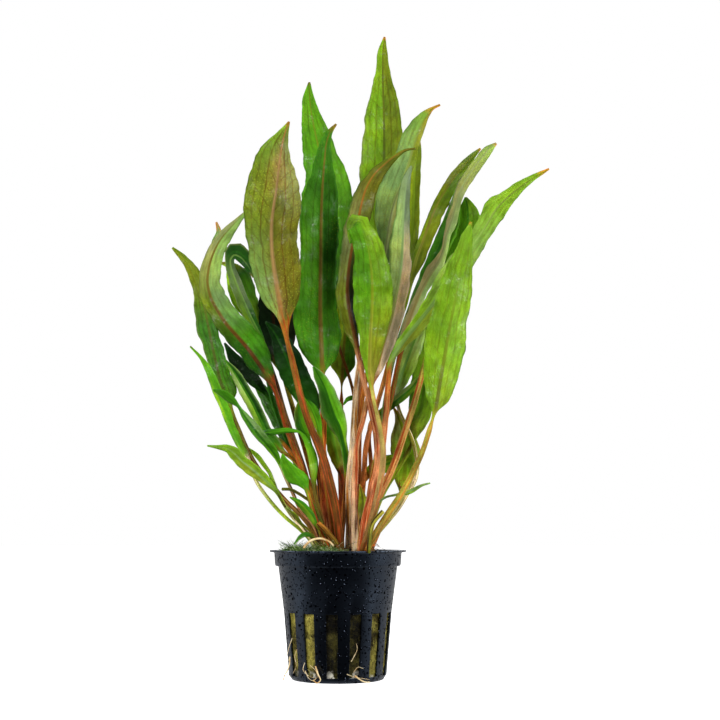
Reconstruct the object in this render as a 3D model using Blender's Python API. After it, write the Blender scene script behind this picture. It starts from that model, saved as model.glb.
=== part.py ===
"""A cryptocoryne in its net pot.

Origin at the centre of the pot's underside, +Z up, +X to the right seen from the front.
The leaves were measured as they look from the front, in millimetres on the upright plane through
the pot's axis, from an eye 520 mm in front of it. Each leaf also has a depth, behind that plane
when positive, and is put where its own line of sight reaches that depth.
"""
from collections import namedtuple

import bmesh
import bpy
import numpy as np

MM = 0.001
EYE = np.array((8.4, -520.0, 56.0))

# Net pot
POT_HEIGHT = 48.0
LIP_RADIUS = 26.0
COLLAR_RADIUS = 24.2
COLLAR_FOOT = 42.0
BODY_TOP_RADIUS = 22.6
SLOT_TOP_RADIUS = 20.4
BASE_RADIUS = 18.0
WALL = 0.9
LIP_THICKNESS = 0.7
FLOOR = 1.3
SLOT_COUNT = 14
SLOT_WIDTH_DEG = 12.5
SLOT_FOOT = 1.9
SLOT_TOP = 25.0
SLOT_PHASE_DEG = -5.5

# What the pot holds
WOOL_TOP = 43.6
CROWN_TOP = 47.2
CROWN_RADIUS = 17.8
CROWN_CENTRE = (1.5, -0.5)
MOSS_OUTER = 22.6
MOSS_START_DEG = 110.0
MOSS_END_DEG = 275.0
GAP = 0.3

# Leaves
BLADE_HALF = 0.26
TIP_HALF = 0.16
LEAF_GAP = 0.5
PUSH_SLOPE = 0.5
CELL = 0.25
FIELD_LOW = np.array((-80.0, 40.0))
FIELD_CELLS = (760, 880)

COLOURS = {
    "bright": (0.20, 0.42, 0.015),
    "light": (0.22, 0.40, 0.06),
    "dark": (0.02, 0.13, 0.008),
    "olive": (0.15, 0.20, 0.02),
    "bronze": (0.20, 0.16, 0.06),
    "grey_green": (0.25, 0.31, 0.16),
    "petiole": (0.33, 0.13, 0.04),
    "pot": (0.010, 0.011, 0.013),
    "wool": (0.36, 0.30, 0.06),
    "moss": (0.05, 0.09, 0.02),
    "root": (0.62, 0.50, 0.30),
    "crown": (0.10, 0.045, 0.015),
}

Leaf = namedtuple("Leaf", "name colour blade depth roll fold points")

# A point is x, z, half width, or x, z, left half width, right half width, and then, where the leaf
# bends back on itself, how much farther back it lies. blade is the first point of the blade.
# depth is the distance behind the axis at the foot and at the tip, roll the blade's turn about its
# midrib in degrees at its foot and tip, and fold how far its edges lie back, as a share of its width.
# The leaves stand in order from the back to the front.
LEAVES = [
    Leaf("leaf_tallest", "bright", 9, (15, 34), (-10, -20), -0.15, [
        (6.8, 48, 1.2), (7.1, 60, 1.1), (7.2, 70, 1.1), (7.2, 80, 1.1), (7.4, 90, 1.0), (7.9, 100, 1.0),
        (8.8, 114, 1.0), (11, 130, 1.0), (13.6, 143, 1.0), (15.4, 153, 1.6, 1.6), (16.8, 168, 5.5, 5.5),
        (17.5, 187, 9.4, 8), (18, 203, 9.1, 7.2), (18, 214, 8.2, 6.9), (17.9, 222, 6.8, 6.2),
        (17.6, 230, 4.6, 4.2), (17.5, 238, 2.8, 2.7), (17.6, 245, 2, 1.8), (18.2, 251, 0.4, 0.4)]),
    Leaf("leaf_olive_back", "olive", 8, (15, 30), (-30, -30), -0.15, [
        (9.4, 48, 1.0), (8.6, 60, 1.0), (7.9, 80, 1.1), (8.3, 96, 1.0), (9.7, 109, 1.0), (14, 125, 1.0),
        (19, 140, 1.0), (23.5, 151, 1.0), (27, 161, 2, 2), (29, 172, 3.5, 2.5), (29.8, 185, 4, 2.2),
        (30.2, 197, 3.5, 2.2), (31, 204, 2, 1.7), (31.9, 208.7, 0.4, 0.4)]),
    Leaf("leaf_olive_centre", "olive", 4, (15, 20), (0, 0), 0.1, [
        (1.7, 48, 0.9), (1, 70, 0.9), (0.6, 90, 0.9), (1.2, 104, 0.8), (1.4, 113, 0.9, 0.9),
        (1.7, 118, 4.2, 4.2), (2.2, 126, 6, 5), (3, 138, 6, 6), (4, 150, 5, 5), (5, 160, 3, 3),
        (5.6, 168, 0.4, 0.4)]),
    Leaf("leaf_green_back", "bright", 8, (15, 24), (25, 30), -0.12, [
        (4.1, 48, 1.0), (4.4, 65, 0.9), (5.4, 85, 0.8), (6.2, 98, 0.7), (6, 107, 0.6), (3.7, 116, 0.6),
        (1.3, 123, 0.6), (-1.5, 133, 0.8), (-4, 145, 4, 4), (-5.5, 160, 8, 8), (-5.8, 175, 9.5, 10.5),
        (-5.8, 185, 8.8, 11.3), (-6, 193, 7.2, 9.8), (-7.3, 202, 6.7, 7), (-9.5, 212, 5.4, 5.6),
        (-11, 220, 3.7, 3.3), (-11.8, 227, 2.3, 1.8), (-11.8, 232.3, 0.4, 0.4)]),
    Leaf("leaf_shaded_left", "dark", 4, (14, 16), (-20, -30), -0.1, [
        (-0.8, 48, 0.9), (-5, 62, 0.9), (-11, 73, 1.0), (-15.3, 80.5, 1.0), (-18, 86.5, 1.8, 1.8),
        (-20.3, 92, 2.8, 2.4), (-23, 98, 3.2, 2.6), (-26, 104, 3.2, 2.6), (-29.8, 109.8, 2.2, 2.2),
        (-35, 114.3, 0.4, 0.4)]),
    Leaf("leaf_shaded_outer_left", "dark", 5, (14, 18), (35, 30), -0.15, [
        (-3.2, 48, 0.9), (-8, 66, 0.9), (-14, 79, 0.9), (-19.5, 92, 0.9), (-24.5, 102, 0.9),
        (-28.5, 108.5, 1, 1), (-32, 112.8, 2.6, 2.3), (-36, 117, 3, 2.6), (-40, 121.5, 2.6, 2),
        (-44.2, 127.6, 0.4, 0.4)]),
    Leaf("leaf_curled_left_back", "light", 5, (14, 24), (35, 30), -0.1, [
        (-5.4, 48, 0.8), (-9.6, 64, 0.8), (-18, 85, 0.9), (-25, 104, 0.9), (-29, 118, 0.9),
        (-35, 127, 1.5, 1.5), (-42, 135.5, 2, 2), (-47.5, 143, 2, 2), (-50.5, 152, 2, 2),
        (-50, 161, 2, 2), (-48, 167.5, 1.8, 1.8), (-47, 171.5, 1.1, 1.1), (-48, 175.5, 0.4, 0.4)]),
    Leaf("leaf_yellow_left", "bright", 6, (14, 24), (40, 35), -0.1, [
        (-7.6, 48, 0.8), (-10.6, 66, 0.8), (-17, 86, 0.9), (-22, 101, 0.9), (-26, 115, 0.8),
        (-29.5, 127, 0.8), (-32, 135.5, 2.2, 2.4), (-35.8, 143.5, 4.8, 4.4), (-38.3, 149.8, 5, 5.3),
        (-40.6, 154.8, 3.4, 4.8), (-43.3, 158.3, 1.2, 1.5), (-46.5, 159.2, 0.4, 0.4)]),
    Leaf("leaf_deep_shade_left", "dark", 7, (12, 30), (30, 25), -0.12, [
        (-4.2, 48, 0.9), (-6.6, 60, 1.0), (-9.2, 73, 1.0),
        (-12.6, 86, 1.0), (-16.2, 98, 1.0), (-19.2, 108, 0.9),
        (-21.8, 116, 0.9), (-23.2, 121.5, 3, 4.4), (-24.4, 128, 5, 7.6), (-25.2, 135, 5.6, 8.6),
        (-26, 143, 5, 7.6), (-28, 153, 3, 4), (-31, 163, 0.4, 0.4)]),
    Leaf("leaf_bent_left", "dark", 7, (12, 14), (15, 0), 0.1, [
        (-6.5, 48, 0.8), (-9.4, 62, 0.9), (-12.2, 75.8, 1.0),
        (-16.3, 88, 1.0), (-20.6, 100, 1.0), (-24, 112, 0.9),
        (-27.5, 122, 0.9), (-31, 131, 1.6, 1.6), (-34.5, 138, 2.3, 2.3), (-38, 146, 2.4, 2.4),
        (-40.7, 153, 2.2, 2.2), (-42.2, 157.6, 2.0, 1.8),
        (-42.2, 160.8, 2.4, 1.5), (-40.8, 162.4, 4.8, 1.4),
        (-38.6, 161.6, 4.2, 1.9), (-36.2, 159.2, 3.4, 1.9),
        (-34.3, 156.2, 1.8, 1.3), (-33.2, 153.4, 0.4, 0.4)]),
    Leaf("leaf_drooping_right", "olive", 4, (12, 12), (-20, -20), -0.1, [
        (12.4, 48, 1.0), (17, 58, 1.0), (21.5, 64.5, 1.0), (24.4, 69.3, 1.1), (25.5, 74, 3.8, 3.6),
        (25.8, 80, 5.3, 5.2), (25.8, 87, 5.4, 5.4), (25, 93, 4.8, 3.8), (23.6, 97.5, 2, 2),
        (22.4, 100.5, 0.8, 0.8), (21.3, 102.5, 0.4, 0.4)]),
    Leaf("leaf_small_right", "bright", 4, (12, 12), (0, 10), 0.1, [
        (5.4, 48, 0.7), (6, 60, 0.7), (7.6, 68, 0.7), (9.8, 74, 0.8), (12.5, 78, 2.2, 2.2),
        (16, 79.8, 3, 3), (19.5, 81, 3.2, 3), (22.3, 82.6, 2.3, 2.3), (24.8, 85.4, 0.4, 0.4)]),
    Leaf("leaf_wavy_right", "olive", 6, (10, 20), (-30, -25), -0.12, [
        (11.2, 48, 0.9), (14.6, 63, 0.9), (18.2, 71.2, 0.9), (22, 77.2, 0.9), (26.9, 85.3, 0.9),
        (29.1, 90.4, 1, 1), (30.3, 95, 2.8, 2.8), (31.8, 101, 4.8, 4.5), (33, 108, 5.5, 5),
        (34.3, 116, 5.6, 5), (35, 124, 4.8, 4.5), (35, 132, 3, 3), (34.5, 138, 0.4, 0.4)]),
    Leaf("leaf_green_right_back", "dark", 11, (7, 18), (-30, -30), -0.12, [
        (11.0, 48, 0.9), (13.4, 52.2, 0.9), (19.2, 59.2, 0.9), (22.9, 63.7, 0.9), (26.2, 69.1, 0.9),
        (29.4, 74.5, 0.85), (30.4, 79.8, 0.8), (29.8, 85, 0.8), (28, 91.3, 0.75), (25.4, 97, 0.7),
        (23.2, 102.5, 0.7), (22.5, 107, 1, 1), (23.7, 112, 2.4, 2.6), (26, 119, 3.8, 3.6),
        (28.7, 126, 3.8, 3.6), (31.5, 133, 2.5, 2.5), (34, 139, 0.4, 0.4)]),
    Leaf("leaf_narrow_right", "dark", 5, (9, 12), (-20, -20), 0.0, [
        (8.6, 48, 0.9), (10.6, 60, 0.9), (12.9, 74, 0.9), (12.4, 84, 0.8), (11.9, 91, 0.8),
        (12.8, 96.5, 1, 1), (15.4, 99.4, 1.3, 1.2), (19, 102.1, 1.7, 1.4), (24, 106.2, 1.9, 1.6),
        (28.5, 110.2, 1.6, 1.5), (32.3, 115.5, 0.4, 0.4)]),
    Leaf("leaf_dark_right", "dark", 7, (2, 24), (-30, -35), -0.15, [
        (8.8, 48, 1.1), (12.0, 60, 1.3), (15.6, 68.4, 1.4), (20.3, 78, 1.4), (26.1, 94.6, 1.3),
        (29.6, 105, 1.2), (32.8, 116.6, 1.1), (36.5, 129, 1.2, 1.2), (41, 143, 3.5, 3.5),
        (45.5, 157, 5, 5), (49, 168, 5.3, 5.3), (50.8, 176, 5.3, 5.2), (50.8, 181, 3.8, 3.4),
        (50, 185.5, 0.5, 0.5)]),
    Leaf("leaf_arching_right", "olive", 7, (8, 36), (-35, -35), -0.25, [
        (6.6, 48, 0.9), (8.6, 62, 1.0), (9.9, 76, 1.0), (10.8, 88, 1.0), (14, 100, 0.9), (18, 114, 0.9),
        (22, 130, 0.9), (26, 143, 0.9), (29, 154, 1.0, 1.2),
        (30.6, 160.5, 1.8, 3.3), (32.8, 166.5, 2.2, 3.3),
        (36.6, 177, 1.9, 3.6), (39.4, 183.4, 2, 3.9), (42.4, 188.6, 2, 3.3), (45.8, 193.6, 2.3, 2.8),
        (49.6, 198.4, 1.9, 2), (52.8, 202, 1.3, 1.2), (56, 205.2, 0.4, 0.4)]),
    Leaf("leaf_dark_slender_right", "dark", 6, (4, 30), (-30, -30), -0.1, [
        (11.0, 48, 0.9), (11.9, 60, 1.0), (13.4, 75, 1.0),
        (17.4, 100, 0.9), (21.5, 122, 0.9), (25, 133, 1.0),
        (29, 142.5, 1.6, 1.6), (32.8, 151, 2.4, 2.5), (37.2, 160, 3, 3.5), (41.8, 170.5, 3, 4),
        (45, 180, 2.5, 3), (46.3, 188.5, 0.4, 0.4)]),
    Leaf("leaf_pink_wavy_right", "grey_green", 6, (4, 24), (-30, -35), 0.15, [
        (8.8, 48, 1.0), (10.8, 60, 1.1), (13, 75, 1.1),
        (16.5, 91, 1.0), (20.3, 106, 1.0), (23.8, 122.5, 1.0),
        (26.6, 132.8, 2, 1.5), (30, 142.5, 1.8, 2.3), (33.5, 150, 2, 2.2), (36.4, 155, 2.9, 2.9),
        (39.3, 159.3, 2.5, 2.2), (41.3, 164, 1.4, 1.4), (42.5, 170, 1.3, 1.5), (44.6, 176, 2.1, 2.1),
        (46, 181, 1.8, 1.6), (48.5, 189, 2.1, 2.1), (51.8, 195, 2.2, 2.4), (55.5, 200, 2.1, 2.3),
        (59, 204.5, 1.8, 1.8), (62.3, 207.3, 0.5, 0.5)]),
    Leaf("leaf_yellow_small_left", "bright", 5, (8, 5), (-10, -20), 0.0, [
        (-2.2, 48, 0.8), (-6.6, 62, 0.8), (-12, 74.5, 0.8), (-15.5, 80.8, 0.8), (-19.4, 86.4, 0.8),
        (-22.3, 89.6, 0.8, 0.8), (-25.5, 91.2, 1, 1), (-28.7, 94, 1.2, 1.2), (-31, 97, 1, 1),
        (-32.6, 100.2, 0.3, 0.3)]),
    Leaf("leaf_thread_left", "bright", 5, (6, 4), (-20, -30), 0.0, [
        (-8.2, 48, 0.6), (-10.6, 53, 0.6), (-13.8, 57, 0.5),
        (-19, 64, 0.5), (-23.4, 70.8, 0.5), (-24.9, 74, 0.8, 0.8),
        (-26.2, 77.2, 0.8, 0.8), (-28.4, 80.3, 0.8, 0.8), (-30.4, 83, 0.9, 0.9), (-32.3, 85, 0.9, 0.7),
        (-34.6, 86.8, 0.3, 0.3)]),
    Leaf("leaf_outer_left", "olive", 9, (5, -4), (-30, -40), -0.1, [
        (-6.2, 48, 0.9), (-9.4, 55, 0.95), (-13.6, 60.6, 0.95), (-20, 66.6, 0.9), (-26.3, 73.8, 0.9),
        (-31, 79.5, 0.9), (-35, 86.5, 0.85), (-38.3, 94, 0.85), (-40.6, 99.5, 0.85),
        (-42.3, 103.5, 1.2, 1.5), (-43.6, 107.5, 2.6, 4.6), (-45.2, 112, 3.3, 4.6), (-46.8, 118, 3, 4.2),
        (-48.9, 127, 3.7, 3.6), (-50.4, 134, 4.8, 3.2), (-51.9, 141, 4.3, 2.9), (-53.8, 148.4, 2.9, 2.8),
        (-56.8, 155.8, 2.3, 2.2), (-61, 161.5, 1.5, 1.3), (-65.1, 165.3, 0.4, 0.4)]),
    Leaf("leaf_edged_left", "dark", 5, (5, -8), (-30, -35), 0.2, [
        (-4.0, 48, 0.8), (-7.4, 63, 0.8), (-10.5, 73, 0.7), (-14.4, 79, 0.7), (-18.4, 83.3, 0.7),
        (-21, 85.3, 0.9, 0.9), (-24, 88.6, 1.8, 2), (-27, 92.3, 2.6, 2.2), (-30, 98, 2.4, 2.2),
        (-33, 104, 2.5, 2.3), (-36.4, 109.8, 2.4, 2.2),
        (-39.8, 115.5, 1.8, 1.8), (-43.7, 121, 0.3, 0.3)]),
    Leaf("leaf_curved_left", "light", 8, (5, -16), (-25, -40), 0.12, [
        (-1.8, 48, 1.1), (-4.7, 57, 1.2), (-8.4, 66, 1.2), (-12.3, 75.5, 1.15), (-16.6, 86, 1.1),
        (-20.2, 95.5, 1.1), (-22.4, 103, 1.1), (-24.9, 110.3, 1.1), (-27.2, 115, 2.2, 2.6),
        (-30.7, 119.8, 4.2, 5.1), (-34.7, 125.3, 4.3, 6.8),
        (-39.3, 130.6, 4.4, 6.8), (-42.9, 134.6, 4.4, 6.5),
        (-46.4, 139.7, 4.2, 6), (-49.5, 145.4, 4, 5.5), (-50.9, 151.5, 3.6, 4.8), (-50.3, 158, 3.4, 4.6),
        (-48.5, 163.8, 2.9, 3.9), (-46, 168.6, 2.4, 3.5),
        (-42.8, 172.6, 1.8, 2.6), (-39.3, 176.5, 1.1, 1.5),
        (-36, 180, 0.4, 0.4)]),
    Leaf("leaf_broad_shaded", "dark", 4, (5, -10), (-15, -25), -0.08, [
        (0.8, 48, 1.0), (-1.6, 62, 1.1), (-4, 75, 1.1), (-6, 88, 1.1), (-8.2, 99, 1.4, 1.4),
        (-11, 105, 4, 4), (-14.5, 110.5, 4.8, 5.2), (-17.5, 116, 5, 5.6), (-19.8, 121.5, 4.8, 5.5),
        (-22.3, 127, 3.3, 4.3), (-25, 132, 2, 2.6), (-28.3, 136, 0.4, 0.4)]),
    Leaf("leaf_grass_right", "bright", 2, (-2, -8), (0, 0), 0.0, [
        (9.8, 48, 0.6), (12, 60.5, 0.5), (14.3, 64.7, 0.45, 0.45), (17.8, 67.8, 0.45, 0.45),
        (22.4, 69, 0.5, 0.5), (26.5, 69.8, 0.8, 0.9), (29.5, 71.2, 0.7, 0.9), (32, 72.5, 0.5, 0.5),
        (35.3, 73.4, 0.3, 0.3)]),
    Leaf("leaf_shaded_centre", "olive", 4, (4, 2), (0, 0), 0.1, [
        (0.6, 48, 0.7), (1.4, 60, 0.7), (1.8, 70, 0.7), (1.4, 76, 0.9, 0.9), (0.3, 81, 2.2, 1.8),
        (-1.1, 86.5, 3.2, 2.4), (-2.3, 92, 3, 2.4), (-3.5, 97, 2, 1.8), (-4.6, 101, 0.4, 0.4)]),
    Leaf("leaf_dark_front", "dark", 8, (2, -8), (5, 10), -0.08, [
        (-3.4, 48, 1.1), (-4.6, 60, 1.25), (-5.8, 70, 1.3), (-6.4, 77, 1.3), (-6, 84, 1.25),
        (-5.7, 92, 1.25), (-5.8, 100, 1.2), (-6, 110, 1.2), (-6.2, 116.5, 1.5, 1.4),
        (-6.4, 120.5, 5, 5), (-6.6, 126, 8.4, 7.3), (-6.9, 133, 10, 7.8), (-7.1, 140, 10.3, 7),
        (-7.1, 152, 8.8, 6.3), (-7, 163, 7.8, 6.6), (-6.9, 174, 8.2, 7), (-6.7, 184, 7.6, 6.4),
        (-6.2, 193, 5.4, 5.2), (-5.6, 201, 3.8, 3.1), (-4.9, 207.5, 2.5, 1.8), (-3.5, 211.8, 1.4, 1),
        (-1, 215.2, 0.4, 0.4)]),
    Leaf("leaf_light_behind_bronze", "bright", 4, (1, -14), (-10, -20), 0.1, [
        (-1.0, 48, 0.8), (-4, 68, 0.8), (-5.5, 80, 0.8), (-6.4, 88, 0.8), (-7.2, 93, 1, 1),
        (-8.2, 97, 1.8, 1.8), (-9.8, 101, 1.9, 2.2), (-11.5, 104.2, 1.3, 1.3), (-13, 106.3, 0.3, 0.3)]),
    Leaf("leaf_beside_bronze", "dark", 3, (1, -12), (-10, 0), 0.1, [
        (-5.6, 48, 0.7), (-6.8, 65, 0.7), (-8, 78, 0.8), (-10.3, 86, 0.9, 0.9), (-12.4, 91.3, 1.8, 1.8),
        (-14.4, 96, 2.3, 2.2), (-15.4, 100.5, 1.6, 2), (-15.3, 104.8, 0.3, 0.3)]),
    Leaf("leaf_arch_left", "dark", 3, (-1, -18), (-10, -20), 0.0, [
        (-3.4, 48, 0.7), (-6.4, 60, 0.8), (-8.5, 68, 0.8), (-9.3, 74.5, 1, 1), (-9.2, 79.5, 1.7, 1.6),
        (-10.1, 84.3, 1.6, 1.8), (-11.5, 88, 1.3, 1.5), (-13, 91, 0.9, 0.9), (-15, 93, 0.5, 0.5),
        (-17.2, 93.5, 0.8, 0.8), (-20, 93.7, 1.1, 1.1), (-24, 93.2, 1.2, 1.2), (-28, 92.8, 1.1, 1.1),
        (-30.8, 92.4, 0.3, 0.3)]),
    Leaf("leaflet_centre", "bright", 3, (3, -4), (0, 0), 0.0, [
        (3.2, 48, 0.6), (4.4, 75, 0.5), (6.2, 94, 0.5), (6.7, 102.5, 0.6, 0.6), (5.7, 106.3, 1, 0.9),
        (3.9, 106, 1, 0.8), (2, 103.5, 0.3, 0.3)]),
    Leaf("leaf_folded_front", "dark", 3, (0, -22), (-15, -20), 0.2, [
        (1.2, 48, 0.9), (2.2, 62, 1.0), (3.1, 72, 1.0), (3.2, 78, 1, 1), (2.9, 84, 1.5, 1.2),
        (1.7, 90, 1.7, 1.6), (0.5, 95, 3.4, 3.3), (-1.6, 99.5, 4, 4), (-3.3, 104.5, 4, 4),
        (-5.1, 110, 2.8, 2.8), (-7.6, 115, 2, 2), (-9.7, 118.4, 0.4, 0.4)]),
    Leaf("leaf_grey_tip_orange", "grey_green", 8, (0, 6), (-15, -25), 0.1, [
        (4.6, 48, 1.3), (4.2, 61, 1.35), (4.2, 72, 1.35), (4.8, 80, 1.3), (5.8, 90, 1.3), (6.3, 100, 1.2),
        (7.2, 112, 1.1), (9, 125, 1.0), (13, 142, 1.1, 1.1), (17, 156, 2.2, 2), (19, 167, 3.4, 2),
        (20.4, 176, 6.2, 2), (22.3, 184, 7.8, 1.9), (25.3, 192, 7.4, 2), (28, 200, 6.6, 2.2),
        (30.4, 207.9, 5.9, 1.9), (32.7, 214, 4.5, 1.6), (35.1, 218.7, 2.7, 0.9), (37.3, 221.5, 0.9, 0.6),
        (40.2, 223, 0.4, 0.4)]),
    Leaf("leaf_pink_underside", "grey_green", 7, (-2, -14), (15, 20), 0.1, [
        (6.4, 48, 1.25), (6.2, 65, 1.3), (6.7, 80, 1.15),
        (7.5, 90, 1.0), (9.4, 97, 1.0), (11.2, 105, 1.0),
        (13, 112, 1.0), (14.6, 117.5, 1.5, 2.5), (17.3, 127.5, 2.5, 4.5), (20.3, 137, 3, 4.5),
        (22.5, 147.5, 3, 4.5), (24.2, 157, 4.4, 4.2), (25, 168, 4.9, 3), (25.3, 178, 3, 2.7),
        (26.2, 188, 2.5, 1.9), (27.3, 194, 1.6, 1.2), (28.6, 198.2, 0.4, 0.4)]),
    Leaf("leaflet_front", "olive", 2, (-3, -6), (0, 0), 0.0, [
        (7.7, 48, 0.7), (8.5, 57, 0.7), (9, 62, 1.5, 1.5), (9.5, 66, 1.7, 1.7), (9, 70, 1, 1),
        (8.2, 73, 0.3, 0.3)]),
    Leaf("leaf_bronze_right", "bronze", 10, (-3, -16), (10, 5), 0.12, [
        (8.4, 48, 1.15), (10, 59, 1.25), (12.8, 70, 1.3), (15, 80, 1.2), (14.9, 88, 1.15),
        (14.2, 94.2, 1.1), (12.9, 100, 1.1), (11.9, 105, 1.0), (10, 112, 1.0), (8.4, 120, 1.0),
        (7, 126.5, 1.3, 1.2), (5.8, 132.5, 3.2, 1.6), (4.4, 139.5, 4.2, 2), (3.4, 147, 4.3, 2.5),
        (3.8, 155, 3.8, 3), (5.2, 165, 4.3, 4), (7.4, 175, 4.5, 4.5), (8.8, 182, 4.2, 5),
        (10.8, 189, 3.4, 4.5), (14.3, 195, 2.2, 3.6), (18.5, 199.2, 1.4, 2.6), (22.5, 202.3, 0.9, 1.4),
        (26.5, 204.6, 0.6, 0.6), (30.3, 205.2, 0.4, 0.4)]),
    Leaf("leaf_big_right", "light", 7, (-3, -24), (25, 30), 0.12, [
        (10.6, 48, 1.1), (12, 60, 1.2), (14.5, 72, 1.2), (16.6, 84, 1.2), (17.8, 94, 1.2),
        (18.6, 102, 1.1), (19.3, 112, 1.1), (20.5, 121, 1.1, 1.1), (24, 127, 1.8, 2.4),
        (31, 136, 2.3, 4.3), (38, 145, 3.8, 5), (44, 154.5, 4.4, 5.5), (50, 163, 4.2, 5.3),
        (57, 173, 3.5, 4), (62, 181, 4.4, 4.6), (68, 187, 2.7, 3),
        (75, 192.3, 1.7, 1.5), (83, 197, 0.4, 0.4)]),
    Leaf("leaf_rounded_front", "light", 8, (-5, -30), (5, 10), 0.12, [
        (9.3, 48, 1.15), (12.6, 59, 1.2), (15.4, 70, 1.25), (17, 79, 1.15), (17.3, 86, 1.1),
        (16.6, 92.4, 1.05), (15.2, 99, 1.0), (13.7, 105, 1.0), (12.6, 112, 1.1, 1.1),
        (12.1, 118, 2, 3), (12.2, 124, 3.6, 4.6), (12.5, 131, 4.8, 6.3), (13, 139, 7, 7.6),
        (13.2, 147, 7.4, 8), (12.9, 155, 7.6, 7.4), (12, 163, 6, 6.3), (10.6, 169, 5.6, 4.9),
        (9, 173, 5.4, 4, 0), (7.6, 175.4, 4.8, 4, 2), (6.4, 174.5, 3.6, 3.2, 5.5),
        (5.5, 171.5, 2.4, 2.4, 8), (4.6, 167, 0.4, 0.4, 10)]),
    Leaf("leaf_broad_right", "light", 7, (-6, -38), (25, 35), 0.1, [
        (11.4, 48.7, 1.1), (14.1, 53.7, 1.25), (19.9, 62.8, 1.3), (24.5, 69.7, 1.2), (29.1, 78.3, 1.1),
        (32, 84.5, 1.05), (34.9, 93, 1.0), (37.2, 101, 1.1, 1.1), (38.1, 105.5, 4, 4.4),
        (39, 111, 5.6, 6), (40.2, 117.5, 7.2, 6.9), (42.2, 128.5, 8.8, 7.3), (43.8, 137, 7.8, 6.3),
        (45.2, 144, 7.2, 6.3), (46.4, 150, 7, 5.8), (47.6, 156, 5.8, 4.9), (49.2, 163, 4, 3.6),
        (50.6, 170, 2.4, 2), (52, 175.6, 0.4, 0.4)]),
    Leaf("leaf_bright_outer_left", "bright", 7, (0, -16), (-30, -40), 0.1, [
        (-8.4, 48, 0.8), (-9.8, 50.8, 0.8), (-14.2, 55.5, 0.7),
        (-20, 60.3, 0.7), (-27, 67.9, 0.7), (-31.9, 75.2, 0.7),
        (-33.7, 80, 0.7), (-35.4, 84.5, 1, 1), (-38.2, 89, 1.4, 1.6), (-40.6, 94, 1.5, 1.6),
        (-43, 100, 1.8, 1.8), (-45.6, 106, 1.7, 1.8), (-48.2, 112, 1.6, 1.8), (-50.3, 117, 1.3, 1.5),
        (-53, 121.5, 0.8, 0.8), (-57.5, 126.3, 0.3, 0.3)]),
    Leaf("leaf_twisted_left", "dark", 5, (-2, -22), (-20, -30), 0.1, [
        (-6.3, 48, 0.7), (-9.5, 57.4, 0.7), (-14.3, 63.1, 0.7), (-17.5, 70, 0.7), (-20.3, 76, 0.7),
        (-22.2, 80.5, 0.8, 0.8), (-24.3, 84.5, 1.3, 1.5), (-27, 88, 1.6, 2), (-30.5, 92, 1.8, 2.2),
        (-33.5, 95.8, 1.6, 2), (-36.2, 99.5, 1.2, 1.3), (-38.6, 103, 0.7, 0.7), (-40.5, 105, 1.5, 1.3),
        (-43, 107, 2, 1.6), (-45.8, 108.6, 1.4, 1.1), (-48.4, 109.3, 0.3, 0.3)]),
    Leaf("leaf_low_left", "light", 4, (-3, -28), (-25, -35), 0.1, [
        (-7.6, 48, 0.7), (-13.2, 56, 0.6), (-17.5, 60.5, 0.6), (-20.5, 65, 0.65), (-23.4, 70, 0.8, 0.8),
        (-27.5, 74.2, 1.7, 1.7), (-30.3, 76.6, 2.2, 2.2), (-33.5, 79.3, 2.7, 2.2), (-37, 82, 2.5, 2),
        (-39.8, 84.8, 2.5, 2.4), (-42.4, 86.6, 1.5, 1.6),
        (-45.5, 87.2, 1.1, 0.9), (-50.3, 87.7, 0.3, 0.3)]),
    Leaf("stub_left", "olive", 9, (-2, -18), (0, 0), 0.0, [
        (-4.6, 48, 0.65), (-7, 60, 0.6), (-10.4, 66.3, 0.6), (-12.7, 67.9, 0.6), (-15.2, 69.5, 0.6),
        (-18.4, 71, 0.6), (-21.3, 71.1, 0.6)]),
    Leaf("leaf_ovate_left", "bright", 4, (-3, -24), (-10, -15), 0.1, [
        (-3.2, 48, 0.75), (-7.4, 56.5, 0.7), (-9.5, 63.1, 0.7), (-10.8, 67.2, 0.7), (-12, 71, 0.9, 0.9),
        (-13.8, 73.8, 2.2, 2.8), (-16.3, 76.5, 3.7, 2.8), (-18.4, 79.3, 3.4, 1.9), (-20.2, 82, 2.2, 1),
        (-21.4, 84.6, 0.3, 0.3)]),
    Leaf("leaf_slim_left", "dark", 2, (-4, -22), (-15, -20), 0.15, [
        (-5.2, 48, 0.6), (-7.3, 55.3, 0.6), (-8.8, 58.2, 1, 1), (-10.5, 61.2, 1.5, 1.5),
        (-12.7, 63.8, 1.5, 1.5), (-15.2, 66.2, 1.1, 1.1), (-18.4, 68, 0.3, 0.3)]),
    Leaf("leaf_tiny_left", "olive", 2, (-4, -16), (0, 0), 0.0, [
        (-6.8, 48, 0.6), (-11.4, 55.8, 0.5), (-14, 57.9, 0.6, 0.6), (-16.2, 60.9, 0.8, 0.8),
        (-20, 64, 0.3, 0.3)]),
    Leaf("leaf_arching_low_left", "dark", 2, (-6, -17), (0, 0), 0.0, [
        (-5.2, 48.6, 0.5), (-8.8, 52.4, 0.5), (-10.4, 53.6, 0.8, 0.8), (-12.3, 54, 0.9, 0.9),
        (-14.4, 52.9, 0.8, 0.8), (-15.8, 51.4, 0.5, 0.5), (-16.7, 50.2, 0.3, 0.3)]),
    Leaf("leaf_bronze_front", "bronze", 11, (-3, -44), (-15, -25), 0.1, [
        (0.8, 48, 1.4), (-0.1, 58, 1.7), (-1.5, 66.2, 1.8), (-3.8, 75.8, 1.8), (-5.6, 82.4, 1.7),
        (-7.5, 87.5, 1.5), (-11.3, 96.6, 1.35), (-14, 105, 1.3), (-16, 113, 1.25), (-17.9, 121, 1.2),
        (-20.5, 132, 1.2), (-21.8, 138.4, 2.4, 4), (-22.5, 142.5, 5.2, 7), (-23.6, 148.5, 7.6, 9),
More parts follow.
